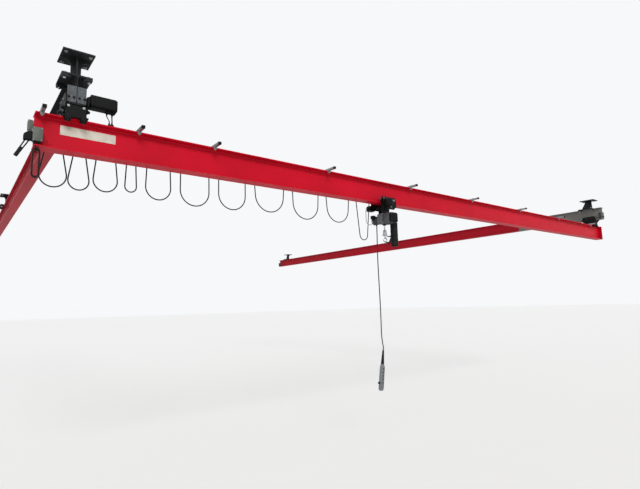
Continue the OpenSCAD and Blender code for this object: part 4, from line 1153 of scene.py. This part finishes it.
# Control box on the far side plate: body, overlapping lid, screws and glands
box_low, box_high = edges("control_box")
box_mid = (box_low + box_high) / 2
bm = bmesh.new()
shell(bm, "z", (box_mid.x, box_mid.y, 0), eased(box_low.z + 20, box_high.z, 97, 72, 8, 2))
shell(bm, "z", (box_mid.x, box_mid.y, 0), eased(box_low.z, box_low.z + 19, 100, 75, 9, 3))
piece("control_box_shell", bm, black_abs, "hoist", ["control_box"])
bm = bmesh.new()
screws(
    bm, [(box_mid.x + 42 * sx, box_mid.y + 29 * sy, box_low.z) for sx in (-1, 1) for sy in (-1, 1)], -Z, 4, 2,
)
piece("control_box_screws", bm, plated_bolt, "hoist")

# The festoon's last stretch, from the tow carrier's saddle down to the control box
tail_end = Vector((box_high.x, 140, TIE_BAR_Z + 2))
gland(gland_bm, (tail_end.x - 2, tail_end.y, tail_end.z), X, FESTOON_D)
piece("hoist_glands", gland_bm, black_rubber, "hoist")
saddle_side = arc((MOVING_X[-1], RAIL_Y, SADDLE_Z), SADDLE_R, 90, 0)
tail = even(
    saddle_side
    + curve_through(
        [
            saddle_side[-1], (MOVING_X[-1] + 60, RAIL_Y, SADDLE_Z - 60),
            (MOVING_X[-1] + 54, RAIL_Y - 6, SADDLE_Z - 130), (MOVING_X[-1] + 22, RAIL_Y - 34, SADDLE_Z - 192),
            (MOVING_X[-1] - 30, RAIL_Y - 76, SADDLE_Z - 226),
            (MOVING_X[-1] - 74, RAIL_Y - 112, SADDLE_Z - 231), tail_end + X * 26, tail_end + X * 20,
        ], 6,
    )[1:]
)
free_cord("festoon_tail", tail, FESTOON_D, black_sheath, "hoist")

# Chain container: an open moulded tube with a rolled rim, shallow bands and a domed foot
CONTAINER = Vector((HOIST_X + 126, -60, 0))
CONTAINER_TOP = HOIST_Z - 54
profile = [(0, 0), (34, 0), (44, 3), (50, 10), (51, 18)]
for k in range(1, 5):
    profile += [(51, 62 * k), (49.5, 62 * k + 3), (49.5, 62 * k + 8), (51, 62 * k + 11)]
profile += [(51, 316), (52, 318), (52, 328), (51, 330), (48.5, 330), (48, 326), (47, 18), (40, 8), (0, 6)]
bm = bmesh.new()
turned(bm, profile, Z, (CONTAINER.x, CONTAINER.y, CONTAINER_TOP - 330), 40)
slab(
    bm, (CONTAINER.x + 14, CONTAINER.y - 47, CONTAINER_TOP - 6),
    (CONTAINER.x + 30, CONTAINER.y + 47, CONTAINER_TOP), 1.5,
)
slab(
    bm, (CONTAINER.x + 16, CONTAINER.y - 12, CONTAINER_TOP - 6),
    (CONTAINER.x + 28, CONTAINER.y + 12, CONTAINER_TOP + 16), 1.5,
)
piece("chain_bucket", bm, black_rubber, "hoist", ["chain_container"])

# --- Chains ---------------------------------------------------------------------------------------------

chain("slack_links", (HOIST_X + 115, -55, HOIST_Z - 40), 5, "hoist", ["slack_chain"])

# The load chain is one long run. What hangs out at rest hangs below the housing, and the rest of it is
# pressed together inside the housing.
LIFT = 2500
STORE_TOP, STORE_BOTTOM = HOIST_Z + 62, HOIST_Z - 44
CHAIN_TOP = HOIST_Z - 49
STORE = STORE_TOP - STORE_BOTTOM
stored_links = math.floor((LIFT + STORE_TOP - CHAIN_TOP) / CHAIN_PITCH)


def pressed(mesh):
    """Presses the stored links together."""
    for vertex in mesh.vertices:
        z = vertex.co.z / MM
        if z <= STORE_BOTTOM:
            continue
        wanted = LIFT + STORE_TOP - z
        low, high = 0.0, 1.0
        for _ in range(30):
            t = (low + high) / 2
            if STORE * t + LIFT * t * t * (3 - 2 * t) < wanted:
                low = t
            else:
                high = t
        vertex.co.z = (STORE_TOP - STORE * low) * MM


load_links = chain(
    "load_chain_links", (HOIST_X, 0, CHAIN_TOP + CHAIN_PITCH * stored_links), stored_links + 7, None,
    ["load_chain"], pressed,
)
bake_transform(load_links)

# Hook latch: a sprung steel tongue from the shank's foot to the inside of the hook's tip
hook_low = edges("hook")[0]
BOWL_R = 31.5
bowl_z = hook_low.z + BOWL_R + 9.5
tip = Vector((HOIST_X - 0.94 * (BOWL_R - 8), 0, bowl_z + 0.34 * (BOWL_R - 8)))
pivot = Vector((HOIST_X - 4, 0, bowl_z + BOWL_R - 8))
bm = bmesh.new()
swept(bm, [pivot - Y * 9, pivot + Y * 9], 4.5, 16)
for y in (-6.5, 5):
    span = (tip - pivot).normalized()
    rise = Vector((-span.z, 0, span.x)) * 4
    ring = [pivot + rise, pivot - rise, tip - rise * 0.6, tip + rise * 0.6]
    plate(bm, [(p.x, p.z) for p in ring], "y", y, 1.5, 0.3)
swept(bm, [pivot.lerp(tip, 0.15), pivot.lerp(tip, 0.5), tip], [5, 4, 3], 10)
piece("hook_latch", bm, forged_steel, "hook")

# --- Pendant ------------------------------------------------------------------------------------------

BOOT_LEN = 190
handset_place = Matrix.Translation(HANDSET_TOP) @ Matrix.Rotation(PENDANT_LEAN, 4, "Y")
boot_profile = [(0, 0), (20, 0), (23, 3)]
for k in range(9):
    r = 23 - 1.1 * k
    boot_profile += [(r, 12 + 18 * k), (r - 2.2, 15 + 18 * k), (r - 2.4, 20 + 18 * k), (r - 0.6, 23 + 18 * k)]
boot_profile += [(12, 182), (10.5, 189), (8, 190), (0, 190)]
bm, body_bm, button_bm, knob_bm = bmesh.new(), bmesh.new(), bmesh.new(), bmesh.new()
turned(bm, boot_profile, Z, (0, 0, -BOOT_LEN), 24)
sections = [
    (-BOOT_LEN, 30, 30, 12), (-BOOT_LEN - 3, 40, 40, 14), (-BOOT_LEN - 12, 47, 45, 15),
    (-BOOT_LEN - 32, 60, 48, 14), (-BOOT_LEN - 150, 63, 48, 12), (-BOOT_LEN - 310, 68, 48, 12),
    (-BOOT_LEN - 335, 62, 47, 14), (-BOOT_LEN - 346, 54, 42, 14), (-BOOT_LEN - 350, 42, 32, 12),
]
shell(body_bm, "z", (0, 0, 0), sections)
slab(body_bm, (-25, -25.5, -BOOT_LEN - 300), (25, -22, -BOOT_LEN - 34), 1.2)
for k in range(5):
    turned(
        button_bm, [(0, 0), (13, 0), (13, 5), (11.5, 7.5), (10, 7.5), (9.5, 6), (0, 6.8)], -Y,
        (0, -24, -BOOT_LEN - 60 - 46 * k), 24,
    )
turned(
    knob_bm, [(0, 0), (9, 0), (9, 9), (15, 12), (15, 18), (13, 23), (8, 26), (0, 26)], -X,
    (-33.3, 0, -BOOT_LEN - 250), 28,
)
for made in (bm, body_bm, button_bm, knob_bm):
    bmesh.ops.transform(made, matrix=handset_place, verts=made.verts)
# The cable runs on through the boot to its clamp inside the handset
pendant_route += [HANDSET_TOP - BOOT_AXIS * 20 * k for k in range(1, 22)]
pendant_boot = piece("pendant_boot", bm, black_rubber, "hoist")
pendant_shell = piece("pendant_shell", body_bm, grey_nylon, "hoist", ["pendant_body"])
pendant_caps = piece("pendant_caps", button_bm, dark_nylon, "hoist", ["pendant_buttons"])
pendant_stop = piece("pendant_stop_button", knob_bm, black_abs, "hoist")
free_cord(
    "pendant_cord", pendant_route, 14, black_sheath, "hoist",
    replaces=["pendant_cable"],
)

# --- CAD nodes that keep their own shape -----------------------------------------------------------

KEPT = {
    red_enamel: ["girder", "trolley_stops"], left_runway_shaded_red: ["runway_left"],
    right_runway_shaded_red: ["runway_right"], grey_primer: ["hangers", "flange_clamps", "tow_arm"],
    black_enamel: ["carriage_plates", "carriage_yokes", "trolley_plates"], weathered_zinc: ["end_stops"],
    zinc_spangle: ["festoon_arms", "festoon_rail"], turned_steel: ["carriage_wheels", "trolley_wheels"],
    black_rubber: ["end_buffers"], forged_steel: ["hook_block", "hook"],
}
for material, names in KEPT.items():
    for node_name in names:
        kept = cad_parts[node_name]
        kept.data.materials.clear()
        kept.data.materials.append(material)

# --- Floor, light and camera -----------------------------------------------------------------------

FLOOR_Z = -4140
bm = bmesh.new()
slab(bm, (-150000, -150000, FLOOR_Z - 10), (160000, 160000, FLOOR_Z), edge=0)
floor_paint = bpy.data.materials.new("pale_floor")
floor_paint.use_nodes = True
floor_tree = floor_paint.node_tree
floor_shader = floor_tree.nodes["Principled BSDF"]
floor_shader.inputs["Roughness"].default_value = 0.8
floor_grain = add(floor_tree, "ShaderNodeTexNoise", values={"Scale": 0.8, "Detail": 5})
floor_tone = add(
    floor_tree, "ShaderNodeMix", {"data_type": "RGBA"}, {MIX_A: srgb("#f4f4f2"), MIX_B: srgb("#ebebe9")},
    {0: floor_grain.outputs["Fac"]},
)
floor_tree.links.new(floor_tone.outputs[MIX_RESULT], floor_shader.inputs["Base Color"])
# The floor is lifted to near white for the camera alone, and keeps its shadow
floor_lift = add(
    floor_tree, "ShaderNodeMath", {"operation": "MULTIPLY"}, {1: 0.2},
    {0: add(floor_tree, "ShaderNodeLightPath").outputs["Is Camera Ray"]},
)
floor_shader.inputs["Emission Color"].default_value = (1, 1, 1, 1)
floor_tree.links.new(floor_lift.outputs["Value"], floor_shader.inputs["Emission Strength"])
floor = piece("floor", bm, floor_paint, None)

world = bpy.data.worlds.new("studio")
bpy.context.scene.world = world
world.use_nodes = True
tree = world.node_tree
tree.nodes.clear()
path = add(tree, "ShaderNodeLightPath")
seen = path.outputs["Is Camera Ray"]
for ray in ("Is Glossy Ray", "Is Transmission Ray"):
    seen = add(
        tree, "ShaderNodeMath", {"operation": "MAXIMUM"}, links={0: seen, 1: path.outputs[ray]},
    ).outputs["Value"]
strength = add(tree, "ShaderNodeMapRange", values={"To Min": 0.5, "To Max": 1.0}, links={"Value": seen})
sky = add(
    tree, "ShaderNodeBackground", values={"Color": srgb("#f7f8fa")},
    links={"Strength": strength.outputs["Result"]},
)
add(tree, "ShaderNodeOutputWorld", links={"Surface": sky.outputs["Background"]})


def sun(name, direction, strength, softness):
    lamp = bpy.data.lights.new(name, "SUN")
    lamp.energy = strength
    lamp.angle = math.radians(softness)
    made = bpy.data.objects.new(name, lamp)
    made.rotation_mode = "QUATERNION"
    made.rotation_quaternion = Vector(direction).to_track_quat("-Z", "Y")
    bpy.context.scene.collection.objects.link(made)


sun("key_light", (0.25, 0.85, -0.5), 1.6, 25)
sun("fill_light", (0.9, -0.3, -0.2), 0.25, 40)

YAW, PITCH, ROLL = (math.radians(a) for a in (38.5114, 7.5193, -1.4955))
forward = Vector((math.sin(YAW) * math.cos(PITCH), math.cos(YAW) * math.cos(PITCH), math.sin(PITCH)))
level = Vector((math.cos(YAW), -math.sin(YAW), 0))
upright = level.cross(forward)
right = math.cos(ROLL) * level + math.sin(ROLL) * upright
up = -math.sin(ROLL) * level + math.cos(ROLL) * upright
camera_data = bpy.data.cameras.new("camera")
camera_data.lens = 26.13
camera_data.sensor_width = 36
camera_data.clip_start = 0.1
camera_data.clip_end = 300
camera = bpy.data.objects.new("camera", camera_data)
camera.matrix_world = Matrix.Translation(
    (-0.767, -4.455, -2.29)
) @ Matrix((right, up, -forward)).transposed().to_4x4()
bpy.context.scene.collection.objects.link(camera)
bpy.context.scene.camera = camera
bpy.context.scene.view_settings.view_transform = "Standard"
